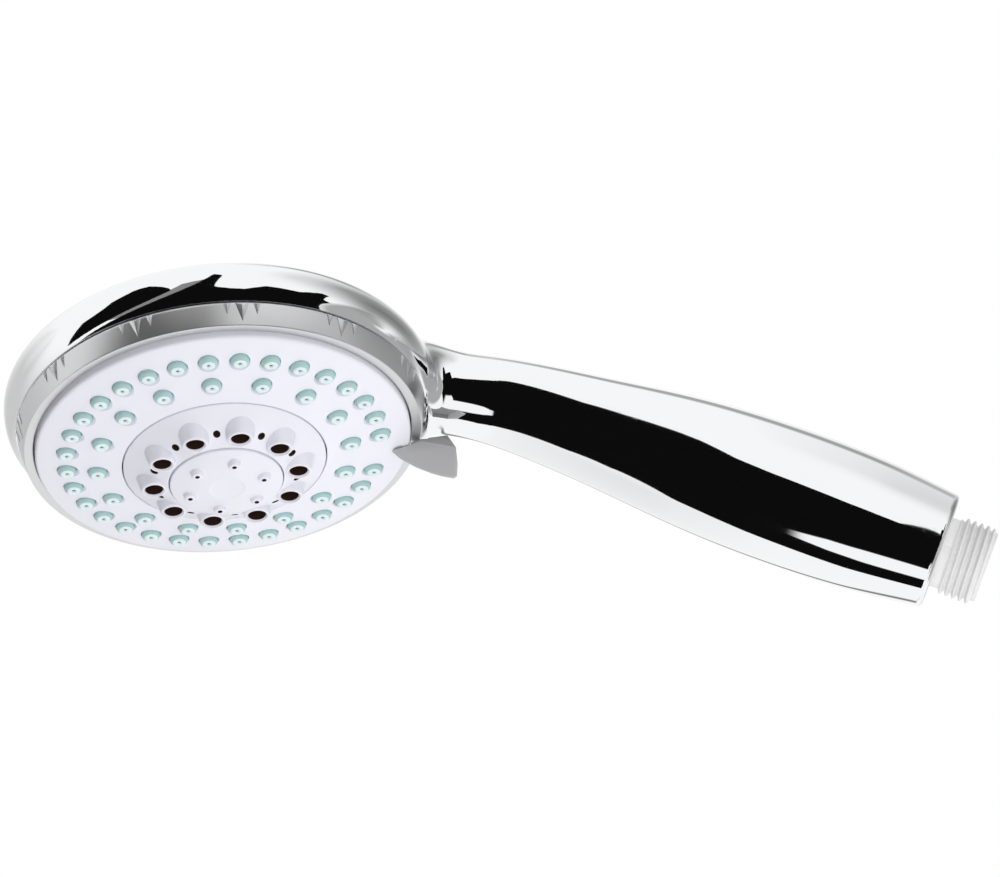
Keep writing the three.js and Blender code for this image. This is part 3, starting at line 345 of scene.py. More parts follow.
def make_materials(finishes):
    """Every finish of the object: one for each slot of the record, and three for painted faces: the raised marks,
    painted shade inside the holes and a painted highlight on the nozzle tops.
    """
    pearl = dict(coat_weight=0.25, coat_roughness=0.2, ior=1.5)
    soft = dict(subsurface_scale=0.001)
    bezel = [c * 0.84 for c in finishes.chrome]
    insert = [c * 0.97 for c in finishes.pearl]
    plans = {
        "chrome_shell": (chrome_finish(finishes.chrome, 0.02, 0.03), dict(metallic=1.0)),
        "chrome_bezel": (chrome_finish(bezel, 0.36, 0.05), dict(metallic=1.0)),
        "pearl_plastic": (plastic_finish(finishes.pearl, 0.34, 1900, 0.00001), pearl),
        "insert_plastic": (plastic_finish(insert, 0.28, 1900, 0.00001), pearl),
        "teal_silicone": (rubber_finish(finishes.silicone, 0.3), dict(soft, subsurface_weight=0.25)),
        "grey_lever": (plastic_finish(finishes.lever, 0.36, 2400, 0.00004), {}),
        "white_plastic": (plastic_finish(finishes.inlet, 0.32, 2100, 0.00003), {}),
        "inner_plastic": (plastic_finish((0.15, 0.16, 0.18), 0.5, 2000, 0.00005), {}),
        "turbine_plastic": (plastic_finish((0.65, 0.25, 0.05), 0.35, 2000, 0.00003), {}),
        "black_rubber": (rubber_finish((0.015, 0.015, 0.016), 0.55), {}),
        "brass_axle": (turned_metal_finish((0.72, 0.56, 0.27), 0.16), dict(metallic=1.0)),
        "steel": (turned_metal_finish((0.6, 0.61, 0.62), 0.18), dict(metallic=1.0)),
        "mark_chrome": (chrome_finish(finishes.chrome, 0.5, 0.0), dict(metallic=1.0)),
        # Painted shade for the walls inside the tubes and jet holes.
        "bore_dark": (plastic_finish(finishes.bore, 0.35, 1500, 0.00003), {}),
        # Paler silicone for the nozzle tops: a painted highlight, the same silicone shown as if lit brighter.
        "silicone_tip": (rubber_finish(finishes.tip, 0.3), dict(soft, subsurface_weight=0.2)),
    }
    for name, (make, fixed) in plans.items():
        MATERIALS[name] = material(name, make, **fixed)


# ---------------------------------------------------------------- mesh shapes


def mesh_from(verts, faces, name="shape"):
    """A mesh with its faces turned outwards."""
    mesh = bpy.data.meshes.new(name)
    mesh.from_pydata([tuple(v) for v in verts], [], [tuple(f) for f in faces])
    work = bmesh.new()
    work.from_mesh(mesh)
    bmesh.ops.remove_doubles(work, verts=work.verts, dist=1e-5)
    bmesh.ops.recalc_face_normals(work, faces=work.faces)
    work.to_mesh(mesh)
    work.free()
    return mesh


def eased(share):
    """A step from 0 to 1 with soft ends."""
    return share * share * (3 - 2 * share)


def arc(centre_r, centre_z, radius, start, end, pieces):
    """Points of a round in an outline, with its angles in degrees."""
    angles = np.radians(np.linspace(start, end, pieces + 1))
    return [(centre_r + radius * math.cos(a), centre_z + radius * math.sin(a)) for a in angles]


def rounded(corners, pieces=4):
    """An outline from corners [radius, height, rounding]; a corner without a rounding stays sharp."""
    out = []
    for i, (x, y, *rounding) in enumerate(corners):
        corner = np.array((x, y), float)
        if not rounding:
            out.append(corner)
            continue
        before = np.array(corners[i - 1][:2], float) - corner
        after = np.array(corners[(i + 1) % len(corners)][:2], float) - corner
        to_before, to_after = np.linalg.norm(before), np.linalg.norm(after)
        half = math.acos(np.clip(before @ after / (to_before * to_after), -1, 1)) / 2
        reach = min(rounding[0] / math.tan(half), 0.45 * to_before, 0.45 * to_after)
        start, end = corner + before * reach / to_before, corner + after * reach / to_after
        for t in np.linspace(0, 1, pieces + 1):
            out.append((1 - t) ** 2 * start + 2 * t * (1 - t) * corner + t**2 * end)
    return out


def lathe(outline, sides=96):
    """A closed mesh: an outline of [radius, height] points turned round Z."""
    verts, faces, rings = [], [], []
    angles = np.arange(sides) * TURN / sides
    closed = outline[0][0] > 1e-6 or outline[-1][0] > 1e-6
    for r, z in outline:
        if r <= 1e-6:
            rings.append([len(verts)] * sides)
            verts.append((0, 0, z))
        else:
            rings.append([len(verts) + i for i in range(sides)])
            verts.extend((r * math.cos(a), r * math.sin(a), z) for a in angles)
    for low, high in zip(rings, rings[1:] + (rings[:1] if closed else [])):
        for i in range(sides):
            j = (i + 1) % sides
            face = list(dict.fromkeys((low[i], high[i], high[j], low[j])))
            if len(face) > 2:
                faces.append(face)
    return mesh_from(verts, faces)


def rod(radius, top, bottom, sides=96):
    """A plain cylinder on the Z axis."""
    return lathe([(0, top), (radius, top), (radius, bottom), (0, bottom)], sides)


def moved(mesh, matrix):
    """The mesh, carried by a matrix."""
    mesh.transform(matrix)
    return mesh


def merged(meshes):
    """One mesh holding several, with their surfaces as they are."""
    work = bmesh.new()
    for mesh in meshes:
        work.from_mesh(mesh)
    out = bpy.data.meshes.new("merged")
    work.to_mesh(out)
    work.free()
    return out


def as_object(mesh, name="work"):
    """An object in the scene that holds the mesh."""
    obj = bpy.data.objects.new(name, mesh)
    bpy.context.scene.collection.objects.link(obj)
    return obj


def evaluated(obj):
    """The object's mesh with its modifiers applied; the object is removed."""
    bpy.context.view_layer.update()
    graph = bpy.context.evaluated_depsgraph_get()
    mesh = bpy.data.meshes.new_from_object(obj.evaluated_get(graph), depsgraph=graph)
    bpy.data.objects.remove(obj)
    return mesh


def boolean(mesh, cutter, operation="DIFFERENCE"):
    """Joins or cuts two closed meshes."""
    obj, other = as_object(mesh), as_object(cutter)
    modifier = obj.modifiers.new("boolean", "BOOLEAN")
    modifier.operation = operation
    modifier.solver = "MANIFOLD"
    modifier.object = other
    made = evaluated(obj)
    bpy.data.objects.remove(other)
    return made


def bevelled(mesh, width, segments=2, angle=30):
    """The mesh with its sharp edges rounded."""
    obj = as_object(mesh)
    modifier = obj.modifiers.new("bevel", "BEVEL")
    modifier.width = width
    modifier.segments = segments
    modifier.limit_method = "ANGLE"
    modifier.angle_limit = math.radians(angle)
    return evaluated(obj)


def on_ring(radius, degrees):
    """A place on a circle of the face frame, clockwise from +X; 90 degrees points at the handle."""
    return radius * math.cos(math.radians(degrees)), -radius * math.sin(math.radians(degrees))


def ring_pattern_tree():
    """Geometry Nodes that set copies of an object round a circle."""
    tree = bpy.data.node_groups.new("ring_pattern", "GeometryNodeTree")
    face = tree.interface
    kinds = {
        "Piece": "NodeSocketObject",
        "Count": "NodeSocketInt",
        "Radius": "NodeSocketFloat",
        "Phase": "NodeSocketFloat",
        "Height": "NodeSocketFloat",
        "Left Out": "NodeSocketInt",
        "Material": "NodeSocketMaterial",
    }
    face.new_socket("Geometry", in_out="OUTPUT", socket_type="NodeSocketGeometry")
    for name, kind in kinds.items():
        face.new_socket(name, in_out="INPUT", socket_type=kind)
    graph = Graph(tree)
    given = tree.nodes.new("NodeGroupInput")

    def wanted(name):
        return Value(graph, given.outputs[name])

    index = graph.add("GeometryNodeInputIndex")
    angle = wanted("Phase") + index * (TURN / wanted("Count"))
    x = graph.add("ShaderNodeMath", {"operation": "COSINE"}, {0: angle}) * wanted("Radius")
    y = graph.add("ShaderNodeMath", {"operation": "SINE"}, {0: angle}) * wanted("Radius")
    place = graph.add("ShaderNodeCombineXYZ", None, {0: x, 1: 0 - y, 2: wanted("Height")})
    points = graph.add("GeometryNodePoints", None, {"Count": wanted("Count"), "Position": place})
    kept = graph.add(
        "FunctionNodeCompare",
        {"data_type": "INT", "operation": "NOT_EQUAL"},
        {2: index, 3: wanted("Left Out")},
    )
    shape = graph.add("GeometryNodeObjectInfo", None, {"Object": wanted("Piece")}, output=4)
    spin = graph.add("ShaderNodeCombineXYZ", None, {2: 0 - angle})
    copies = graph.add(
        "GeometryNodeInstanceOnPoints",
        None,
        {"Points": points, "Selection": kept, "Instance": shape, "Rotation": spin},
    )
    solid = graph.add("GeometryNodeRealizeInstances", None, {"Geometry": copies})
    painted = graph.add("GeometryNodeSetMaterial", None, {"Geometry": solid, "Material": wanted("Material")})
    result = tree.nodes.new("NodeGroupOutput")
    tree.links.new(painted.socket, result.inputs[0])
    return tree


def ring_of(mesh, count, radius, phase, finish, left_out=-1, height=0.0):
    """Copies of a mesh round a circle of the face frame, as one mesh."""
    tree = bpy.data.node_groups.get("ring_pattern") or ring_pattern_tree()
    shape, holder = as_object(mesh, "one"), as_object(bpy.data.meshes.new("holder"))
    modifier = holder.modifiers.new("ring", "NODES")
    modifier.node_group = tree
    values = {
        "Piece": shape,
        "Count": count,
        "Radius": float(radius),
        "Phase": math.radians(phase),
        "Height": float(height),
        "Left Out": left_out,
        "Material": MATERIALS[finish],
    }
    for item in tree.interface.items_tree:
        if item.in_out == "INPUT":
            modifier[item.identifier] = values[item.name]
    made = evaluated(holder)
    bpy.data.objects.remove(shape)
    return made


def settle_materials(mesh, finish):
    """Leaves one slot for each finish in use; faces without a finish take the given one."""
    given = [m or MATERIALS[finish] for m in mesh.materials] or [MATERIALS[finish]]
    slots = list(dict.fromkeys(given))
    index = np.zeros(len(mesh.polygons), np.int32)
    mesh.polygons.foreach_get("material_index", index)
    index = np.array([slots.index(m) for m in given], np.int32)[np.clip(index, 0, len(given) - 1)]
    mesh.materials.clear()
    for one in slots:
        mesh.materials.append(one)
    mesh.polygons.foreach_set("material_index", index)


def finished(name, mesh, matrix, body, nodes, finish, smooth=32):
    """Turns a mesh in millimetres into a piece that rides on its body in place of its frame nodes."""
    mesh.transform(TO_METRES @ matrix)
    mesh.name = name
    if smooth:
        mesh.shade_smooth()
        mesh.set_sharp_from_angle(angle=math.radians(smooth))
    settle_materials(mesh, finish)
    piece = as_object(mesh, name)
    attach(piece, body)
    if nodes:
        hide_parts(*nodes)
    return piece


# ---------------------------------------------------------------- the shell's surface


def catmull(points, count, centripetal):
    """Points of a Catmull-Rom curve through the given points, like three.js curves of that name."""
    points = [np.array(p, float) for p in points]
    if centripetal:
        first, last = 2 * points[0] - points[1], 2 * points[-1] - points[-2]
    else:
        first, last = points[0], points[-1]
    padded = [first, *points, last]
    out = []
    for k in range(count + 1):
        place = (len(points) - 1) * k / count
        i = min(int(place), len(points) - 2)
        t = place - i
        p0, p1, p2, p3 = padded[i : i + 4]
        if centripetal:
            d0, d1, d2 = (math.sqrt(np.linalg.norm(b - a)) for a, b in ((p0, p1), (p1, p2), (p2, p3)))
            v1 = ((p1 - p0) / d0 - (p2 - p0) / (d0 + d1) + (p2 - p1) / d1) * d1
            v2 = ((p2 - p1) / d1 - (p3 - p1) / (d1 + d2) + (p3 - p2) / d2) * d1
        else:
            v1, v2 = (p2 - p0) / 2, (p3 - p1) / 2
        out.append(
            (2 * p1 - 2 * p2 + v1 + v2) * t**3 + (3 * p2 - 3 * p1 - 2 * v1 - v2) * t**2 + v1 * t + p1
        )
    return np.array(out)


class ShellSurface:
    """The outer surface of handle and head as a distance field, in the part frame's millimetres."""

    FLANK_Z = -16.7
    RIM_Z = -10.5
    RIM_INSET = 2.7
    NECK_Z = -19.7
    NECK_REACH = 2.8
    RIDGE_END_R = 20
    RIDGE_R = 9.4
    FRONT_BLEND = 5.5
    BACK_BLEND = 13

    def __init__(self, sizes):
        self.sizes = sizes
        self.sin, self.cos = math.sin(FACE_TILT), math.cos(FACE_TILT)
        rise = sizes.handle_length
        places = [
            (0, HANDLE_END_Z),
            (0, HANDLE_END_Z + 0.33 * rise),
            (-0.06 * sizes.neck_set, HANDLE_END_Z + 0.64 * rise),
            (-0.41 * sizes.neck_set, HANDLE_END_Z + 0.88 * rise),
            (-sizes.neck_set, HANDLE_END_Z + rise),
            self.from_face(9.5 - HEAD_R, self.NECK_Z - 2.9),
            self.from_face(23.5 - HEAD_R, self.NECK_Z - 4.3),
            self.from_face(-self.RIDGE_END_R, self.NECK_Z - 4.5),
        ]
        self.line = catmull(places, 1400, True)
        steps = np.linalg.norm(np.diff(self.line, axis=0), axis=1)
        self.along = np.concatenate([[0], np.cumsum(steps)])
        self.length = self.along[-1]
        tangent = np.gradient(self.line, self.along, axis=0)
        self.tangent = tangent / np.linalg.norm(tangent, axis=1, keepdims=True)
        on_face = self.to_face(self.line)[:, 0]
        self.flank_at = self.along[np.argmin(abs(-on_face - HEAD_R))]
        self.make_radii()
        self.set_dome(24)

    def set_dome(self, pieces):
        """Keeps the dome's half section, each of its rounds with this many pieces."""
        self.dome = np.array(self.dome_outline(0, self.RIM_Z + self.sizes.bezel_height + 2, pieces))

    def from_face(self, y, z):
        """(y, z) of the face frame as (y, z) of the part frame."""
        return (FACE_ORIGIN.y - y * self.sin - z * self.cos, FACE_ORIGIN.z + y * self.cos - z * self.sin)

    def to_face(self, places):
        """(y, z) rows of the part frame as (y, z) rows of the face frame."""
        dy, dz = places[:, 0] - FACE_ORIGIN.y, places[:, 1] - FACE_ORIGIN.z
        return np.stack([-dy * self.sin + dz * self.cos, -dy * self.cos - dz * self.sin], 1)

    def make_radii(self):
        """The handle's radius at every place along its line."""
        s = self.sizes
        side = catmull(
            [
                (0, s.end_radius),
                (s.belly_height * 0.48, (s.end_radius + 3.8 * s.belly_radius) / 4.8),
                (s.belly_height, s.belly_radius),
                (s.belly_height * 1.55, (5.7 * s.belly_radius + s.neck_radius) / 6.7),
                (s.handle_length * 0.73, (s.belly_radius + 1.7 * s.neck_radius) / 2.7),
                (s.handle_length * 0.92, s.neck_radius + 0.2),
                (s.handle_length, s.neck_radius),
            ],
            600,
            False,
        )
        inside = [
            (self.flank_at + 14, self.RIDGE_R + 1.1),
            (self.length - 6, self.RIDGE_R),
            (self.length, self.RIDGE_R - 2.4),
            (self.length + 6, self.RIDGE_R - 8),
        ]
        table = np.vstack([side, [(self.flank_at + 2, s.neck_radius)], inside])
        fine = np.linspace(0, self.length + 6, 700)
        radii = np.interp(fine, table[:, 0], table[:, 1])
        smooth = np.convolve(np.pad(radii, 8, "edge"), np.ones(17) / 17, "valid")
        self.radius_at = (fine, np.where(fine < s.handle_length * 0.9, radii, smooth))

    def dome_outline(self, inset, front_z, pieces=24):
        """Half section of the dome, from its front to the pole at the back."""
        rim, wide = HEAD_R - self.RIM_INSET - inset, HEAD_R - inset
        shoulder_r, shoulder_z = HEAD_R - 4 - inset, self.FLANK_Z - 6.3 + 0.6 * inset
        t = np.linspace(0, 1, pieces + 1)[:, None]

        def bend(a, b, c):
            return (1 - t) ** 2 * np.array(a) + 2 * t * (1 - t) * np.array(b) + t**2 * np.array(c)

        front = bend((rim, self.RIM_Z), (wide, self.RIM_Z - 2), (wide, self.FLANK_Z))
        back = bend((wide, self.FLANK_Z), (wide, self.FLANK_Z - 4.3 + 0.3 * inset), (shoulder_r, shoulder_z))
        back_z = inset - self.sizes.depth
        sagitta = shoulder_z - back_z
        cap_r = (shoulder_r**2 + sagitta**2) / (2 * sagitta)
        edge = math.degrees(math.asin(shoulder_r / cap_r))
        cap = arc(0, back_z + cap_r, cap_r, edge - 90, -90, 2 * pieces)
        return [(0, front_z), (rim, front_z), *front, *back[1:], *cap[1:-1], (0, back_z)]

    def along_line(self, points):
        """Each point's distance along the handle's line, and from it in the line's own section."""
        flat = points[:, 1:]
        coarse = self.line[::8]
        nearest = np.empty(len(flat), int)
        for start in range(0, len(flat), 20000):
            part = flat[start : start + 20000]
            gaps = (part[:, None, 0] - coarse[:, 0]) ** 2 + (part[:, None, 1] - coarse[:, 1]) ** 2
            nearest[start : start + 20000] = gaps.argmin(1)
        place = self.along[nearest * 8]
        for _ in range(3):
            foot, tangent = self.frame_at(place)
            place = place + ((flat - foot) * tangent).sum(1)
        foot, tangent = self.frame_at(place)
        s = self.sizes
        share = np.clip((place / s.handle_length - 0.5) / 0.45, 0, 1)
        wider = s.neck_flatness * eased(share)
        across = points[:, 0] / (1 + wider)
        deep = np.linalg.norm(flat - foot, axis=1) * (1 + 0.65 * wider)
        return place, np.hypot(across, deep)

    def frame_at(self, place):
        """The line's point and direction at each place; past its ends it runs on straight."""
        inside = np.clip(place, 0, self.length)
        foot = np.stack([np.interp(inside, self.along, self.line[:, k]) for k in (0, 1)], 1)
        tangent = np.stack([np.interp(inside, self.along, self.tangent[:, k]) for k in (0, 1)], 1)
        return foot + tangent * (place - inside)[:, None], tangent

    def handle_distance(self, points):
        """Distance to the handle, whose lower edge is rounded."""
        place, out = self.along_line(points)
        radius = np.interp(place, *self.radius_at)
        slope = (np.interp(place + 1, *self.radius_at) - np.interp(place - 1, *self.radius_at)) / 2
        side = (out - radius) / np.sqrt(1 + slope**2)
        rounding = self.sizes.end_round
        past_side = side + rounding
        past_end = np.maximum(rounding - place, place - self.length)
        outside = np.hypot(np.maximum(past_side, 0), np.maximum(past_end, 0))
        return np.minimum(np.maximum(past_side, past_end), 0) + outside - rounding

    def dome_distance(self, points):
        """Distance to the dome, by its half section."""
        face = self.to_face(points[:, 1:])
        r = np.hypot(points[:, 0], face[:, 0])
        place = np.stack([r, face[:, 1]], 1)
        a, b = self.dome[:-1], self.dome[1:]
        best = np.full(len(place), 1e9)
        inside = np.zeros(len(place), bool)
        for p, q in zip(a, b):
            edge = q - p
            t = np.clip(((place - p) @ edge) / max(edge @ edge, 1e-12), 0, 1)
            best = np.minimum(best, np.linalg.norm(place - p - t[:, None] * edge, axis=1))
            crosses = (p[1] > place[:, 1]) != (q[1] > place[:, 1])
            if abs(edge[1]) > 1e-12:
                inside ^= crosses & (place[:, 0] < p[0] + (place[:, 1] - p[1]) * edge[0] / edge[1])
        return np.where(inside, -best, best)

    def distance(self, points):
        """Distance to handle and dome together, with a round blend where they meet."""
        dome, handle = self.dome_distance(points), self.handle_distance(points)
        z = self.to_face(points[:, 1:])[:, 1]
        share = np.clip((self.NECK_Z + 4 - z) / 12, 0, 1)
        blend = self.FRONT_BLEND + (self.BACK_BLEND - self.FRONT_BLEND) * eased(share)
        near = np.maximum(blend - abs(dome - handle), 0)
        return np.minimum(dome, handle) - near**2 / (4 * blend)

    def slope(self, points):
        """Direction in which the distance grows."""
        step = 0.02
        here = self.distance(points)
        gradient = np.stack([self.distance(points + step * axis) - here for axis in np.eye(3)], 1)
        return gradient / np.maximum(np.linalg.norm(gradient, axis=1, keepdims=True), 1e-9)

    def along_handle(self, outline, sides):
        """An outline of [radius, distance along the line] turned and bent to the handle, as a mesh."""
        mesh = lathe(outline, sides)
        points = np.array([v.co for v in mesh.vertices])
        foot, tangent = self.frame_at(points[:, 2])
        across = np.stack([-tangent[:, 1], tangent[:, 0]], 1)
        flat = foot + across * points[:, 1:2]
        bent = np.column_stack([points[:, 0], flat])
        mesh.vertices.foreach_set("co", bent.astype(np.float32).ravel())
        return mesh_from([tuple(v.co) for v in mesh.vertices], [tuple(f.vertices) for f in mesh.polygons])


def relaxed(mesh, surface, rounds=3):
    """Evens out a mesh's points and lays them on the surface."""
    count = len(mesh.vertices)
    points = np.zeros(count * 3, np.float32)
    mesh.vertices.foreach_get("co", points)
    points = points.reshape(-1, 3).astype(float)
    edges = np.zeros(len(mesh.edges) * 2, np.int32)
    mesh.edges.foreach_get("vertices", edges)
    edges = edges.reshape(-1, 2)
    both = np.concatenate([edges, edges[:, ::-1]])
    degree = np.bincount(both[:, 0], minlength=count)[:, None]
    for turn in range(rounds + 1):
        if turn < rounds:
            total = np.stack([np.bincount(both[:, 0], points[both[:, 1], k], count) for k in range(3)], 1)
            points = 0.5 * points + 0.5 * total / degree
        for _ in range(1 if turn < rounds else 3):
            points = points - surface.distance(points)[:, None] * surface.slope(points)
    mesh.vertices.foreach_set("co", points.astype(np.float32).ravel())
    mesh.update()
    return mesh


def outer_skin(surface):
    """Handle and dome as one closed skin with even faces."""
    s = surface.sizes
    steps = np.arange(2, surface.flank_at, 2.5)
    side = [(np.interp(d, *surface.radius_at), d) for d in steps]
    tail = [(surface.RIDGE_R, surface.length - 4), (0, surface.length)]
    handle = surface.along_handle([(0, 0), (s.end_radius - 1, 0), (s.end_radius, 1), *side, *tail], 64)
    dome = moved(lathe([tuple(p) for p in surface.dome], 128), FROM_FACE)
    obj = as_object(merged([handle, dome]))
    remesh = obj.modifiers.new("even", "REMESH")
    remesh.mode = "VOXEL"
    remesh.voxel_size = VOXEL
    return relaxed(evaluated(obj), surface)


def set_surface_normals(mesh, surface):
    """Gives the outer skin its exact normals; cut faces keep their own.

    At the rim the normals are those of the slope just behind it.
    """
    points = np.zeros(len(mesh.vertices) * 3, np.float32)
    mesh.vertices.foreach_get("co", points)
    points = points.reshape(-1, 3).astype(float)
    surface.set_dome(90)
    on_skin = abs(surface.distance(points)) < 0.15
    exact = np.zeros_like(points)
    face = surface.to_face(points[:, 1:])
    near_rim = np.hypot(points[:, 0], face[:, 0]) < HEAD_R - surface.RIM_INSET + 0.7
    ahead = np.where(near_rim, np.maximum(face[:, 1] - surface.RIM_Z + 0.4, 0), 0)
    behind_rim = points - np.outer(ahead, SPRAY)
    exact[on_skin] = surface.slope(behind_rim[on_skin])
    corners = np.zeros(len(mesh.loops), np.int32)
    mesh.loops.foreach_get("vertex_index", corners)
    faces = np.zeros(len(mesh.polygons) * 3, np.float32)
    mesh.polygons.foreach_get("normal", faces)
    sizes = np.zeros(len(mesh.polygons), np.int32)
    mesh.polygons.foreach_get("loop_total", sizes)
    flat = np.repeat(faces.reshape(-1, 3), sizes, axis=0)
    wanted = exact[corners]
    first = np.concatenate([[0], np.cumsum(sizes)[:-1]])
    whole = np.repeat(np.minimum.reduceat(on_skin[corners].astype(int), first), sizes) > 0
    fits = on_skin[corners] & ((wanted * flat).sum(1) > np.where(whole, 0.25, 0.85))
    normals = np.where(fits[:, None], wanted, flat)
    mesh.shade_smooth()
    mesh.normals_split_custom_set([tuple(n) for n in normals])


def shell_hollow(surface):
    """What is cut out of the shell: the room in the head, the front and the bore of the handle."""
    s = surface.sizes
    wall = s.wall
    bore_r = s.end_radius - wall
    rim_inner = HEAD_R - surface.RIM_INSET - wall
    inside = [(np.interp(d, *surface.radius_at) - wall, d) for d in np.arange(15, surface.flank_at, 6)]
    ridge = surface.RIDGE_R - wall
    tail = [(ridge + 1.1, surface.flank_at + 14), (ridge, surface.length - 5), (0, surface.length - 4)]
    bore = surface.along_handle([(0, -2), (bore_r, -2), (bore_r, 13), *inside, *tail], 48)
    room = moved(lathe(surface.dome_outline(wall, surface.RIM_Z - 2, 8), 96), FROM_FACE)
    front = moved(rod(rim_inner, 20, surface.RIM_Z - 4), FROM_FACE)
    return [room, front, bore]


class SHOWER_OT_shell(bpy.types.Operator):
    """Build the handle and dome as one plated moulding"""

    bl_idname = "shower.shell"
    bl_label = "Shell"

    def execute(self, context):
        surface = ShellSurface(sizes_in_mm(context.scene.shower_shell))
        mesh = outer_skin(surface)
        for cutter in shell_hollow(surface):
            mesh = boolean(mesh, cutter)
        # Next to the bezel the cut follows the dome's first slope, so that the rim is one clean edge.
        rim_r, rim_z = HEAD_R - surface.RIM_INSET, surface.RIM_Z + 0.03
        reach = rim_r + 0.6
        beside_bezel = lathe([(0, 25), (reach, 25), (reach, rim_z - 0.5), (rim_r, rim_z), (0, rim_z)], 192)
        mesh = boolean(mesh, moved(beside_bezel, FROM_FACE))
        mesh = boolean(mesh, moved(lever_room(surface), FROM_FACE))
        set_surface_normals(mesh, surface)
        finished("shell", mesh, Matrix(), "body", ["body_shell"], "chrome_shell", smooth=0)
        return {"FINISHED"}


def lever_room(surface):
    """The slot in front of the neck that the lever sweeps through."""
    reach = HEAD_R + LEVER_REACH + 0.6
    floor, roof = -5.4, 20
    return lathe([(FACE_R, roof), (reach, roof), (reach, floor), (FACE_R, floor)], 128)


# ---------------------------------------------------------------- bezel

BEZEL_BACK_Z = ShellSurface.RIM_Z + 0.1
BEZEL_RIM_R = HEAD_R - ShellSurface.RIM_INSET - 0.05
SPIGOT_R = HEAD_R - ShellSurface.RIM_INSET - 2.5
SPIGOT_DEPTH = 3.3


def bezel_front_z(sizes):
    """Height of the bezel's front edge."""
    return BEZEL_BACK_Z + 0.2 + sizes.bezel_height


def raised_mark(sizes, half, mark_length, height=0.6):
    """A ridged triangle on the bezel's taper at the ring's first place, pointing at the front."""
    down = Vector((-sizes.bezel_taper, 0, sizes.bezel_height)).normalized()
    out = Vector((sizes.bezel_height, 0, sizes.bezel_taper)).normalized()
    side = Vector((0, 1, 0))
    base = down * 0.55
    flat = [side * half, -side * half, down * mark_length]
    foot = [base + p - out * 0.4 for p in flat]
    edge = [base + p + out * 0.12 for p in flat]
    ridge = base + down * 0.12 * mark_length + out * height
    faces = [(0, 1, 2), (0, 3, 4, 1), (1, 4, 5, 2), (2, 5, 3, 0), (3, 6, 4), (4, 6, 5), (5, 6, 3)]
    return bevelled(mesh_from([*foot, *edge, ridge], faces), 0.09, 2, 20)


class SHOWER_OT_bezel(bpy.types.Operator):
    """Build the plated ring round the spray face, with its raised marks"""

    bl_idname = "shower.bezel"
    bl_label = "Bezel"

    def execute(self, context):
        sizes = sizes_in_mm(context.scene.shower_shell)
        inner, front = FACE_R + TURNING_GAP, bezel_front_z(sizes)
        outline = rounded(
            [
                (inner, front, 0.35),
                (BEZEL_RIM_R - sizes.bezel_taper, front, 0.3),
                (BEZEL_RIM_R, BEZEL_BACK_Z, 0.8),
                (SPIGOT_R, BEZEL_BACK_Z),
                (SPIGOT_R, BEZEL_BACK_Z - SPIGOT_DEPTH, 0.3),
                (inner, BEZEL_BACK_Z - SPIGOT_DEPTH),
            ],
            6,
        )
        ring = lathe(outline, 240)
        ring.materials.append(MATERIALS["chrome_bezel"])
        for turn, half, size in ((0, 1.7, 4.9), (-4.2, 0.9, 3), (4.2, 0.9, 3)):
            mark = raised_mark(sizes, half, size)
            groups = sizes.mark_groups
            marks = ring_of(mark, groups, BEZEL_RIM_R, turn, "mark_chrome", height=BEZEL_BACK_Z)
            ring = boolean(ring, marks, "UNION")
        finished("bezel", ring, FROM_FACE, "body", ["bezel_ring"], "chrome_bezel", smooth=28)
        return {"FINISHED"}


# ---------------------------------------------------------------- spray face

INSERT_EDGE_Z = 2.4
FACE_SLOPE = 0.209
PLATE_THICK = 2
SKIRT_Z = -11.7
SKIRT_R = FACE_R - 1.6
MAT_THICK = 1.5
PLATE_SPAN = FACE_R - INSERT_R
OUTER_R = INSERT_R + 0.65 * PLATE_SPAN
INNER_R = INSERT_R + 0.3 * PLATE_SPAN
TUBE_R = CAP_R + 4.15
JET_R = CAP_R + 4.2
CORE_R = CAP_R - 4.5
PEG_R = 1.3
PEG_AT = SKIRT_R - PEG_R
LEVER_REACH = 4.8


def face_z(radius):
    """Height of the plate's surface."""
    return INSERT_EDGE_Z - FACE_SLOPE * (radius - INSERT_R)


def nozzle_circles(sizes):
    """(count, radius, phase, index left out) of both nozzle circles."""
    at_lever = sizes.outer_nozzles // 4
    return (
        (sizes.outer_nozzles, OUTER_R, 0, at_lever),
        (sizes.inner_nozzles, INNER_R, 180 / sizes.inner_nozzles, -1),
    )


def at_peg(mesh):
    """The mesh, carried to the place of the lever's peg."""
    return moved(mesh, Matrix.Translation((*on_ring(PEG_AT, 90), 0)))


def peg_hole():
    """What is cut out of plate and mat for the lever's peg."""
    return at_peg(rod(PEG_R + PEG_GAP, 3, SKIRT_Z, 32))


def painted(mesh, base, finish, circles, upward=False):
    """Gives a second finish to faces inside circles of (radius, count, phase, reach).

    The faces are the walls of ways through the mesh, or with upward its tops. Dark walls are painted shade inside
    the holes; paler tops are a painted highlight.
    """
    settle_materials(mesh, base)
    mesh.materials.append(MATERIALS[finish])
    second = len(mesh.materials) - 1
    places = [
        (*on_ring(radius, phase + 360 * i / count), reach)
        for radius, count, phase, reach in circles
        for i in range(count)
    ]
    places = np.array(places)
    for polygon in mesh.polygons:
        if (polygon.normal.z > 0.5) if upward else abs(polygon.normal.z) < 0.3:
            x, y, _ = polygon.center
            if (np.hypot(x - places[:, 0], y - places[:, 1]) < places[:, 2]).any():
                polygon.material_index = second


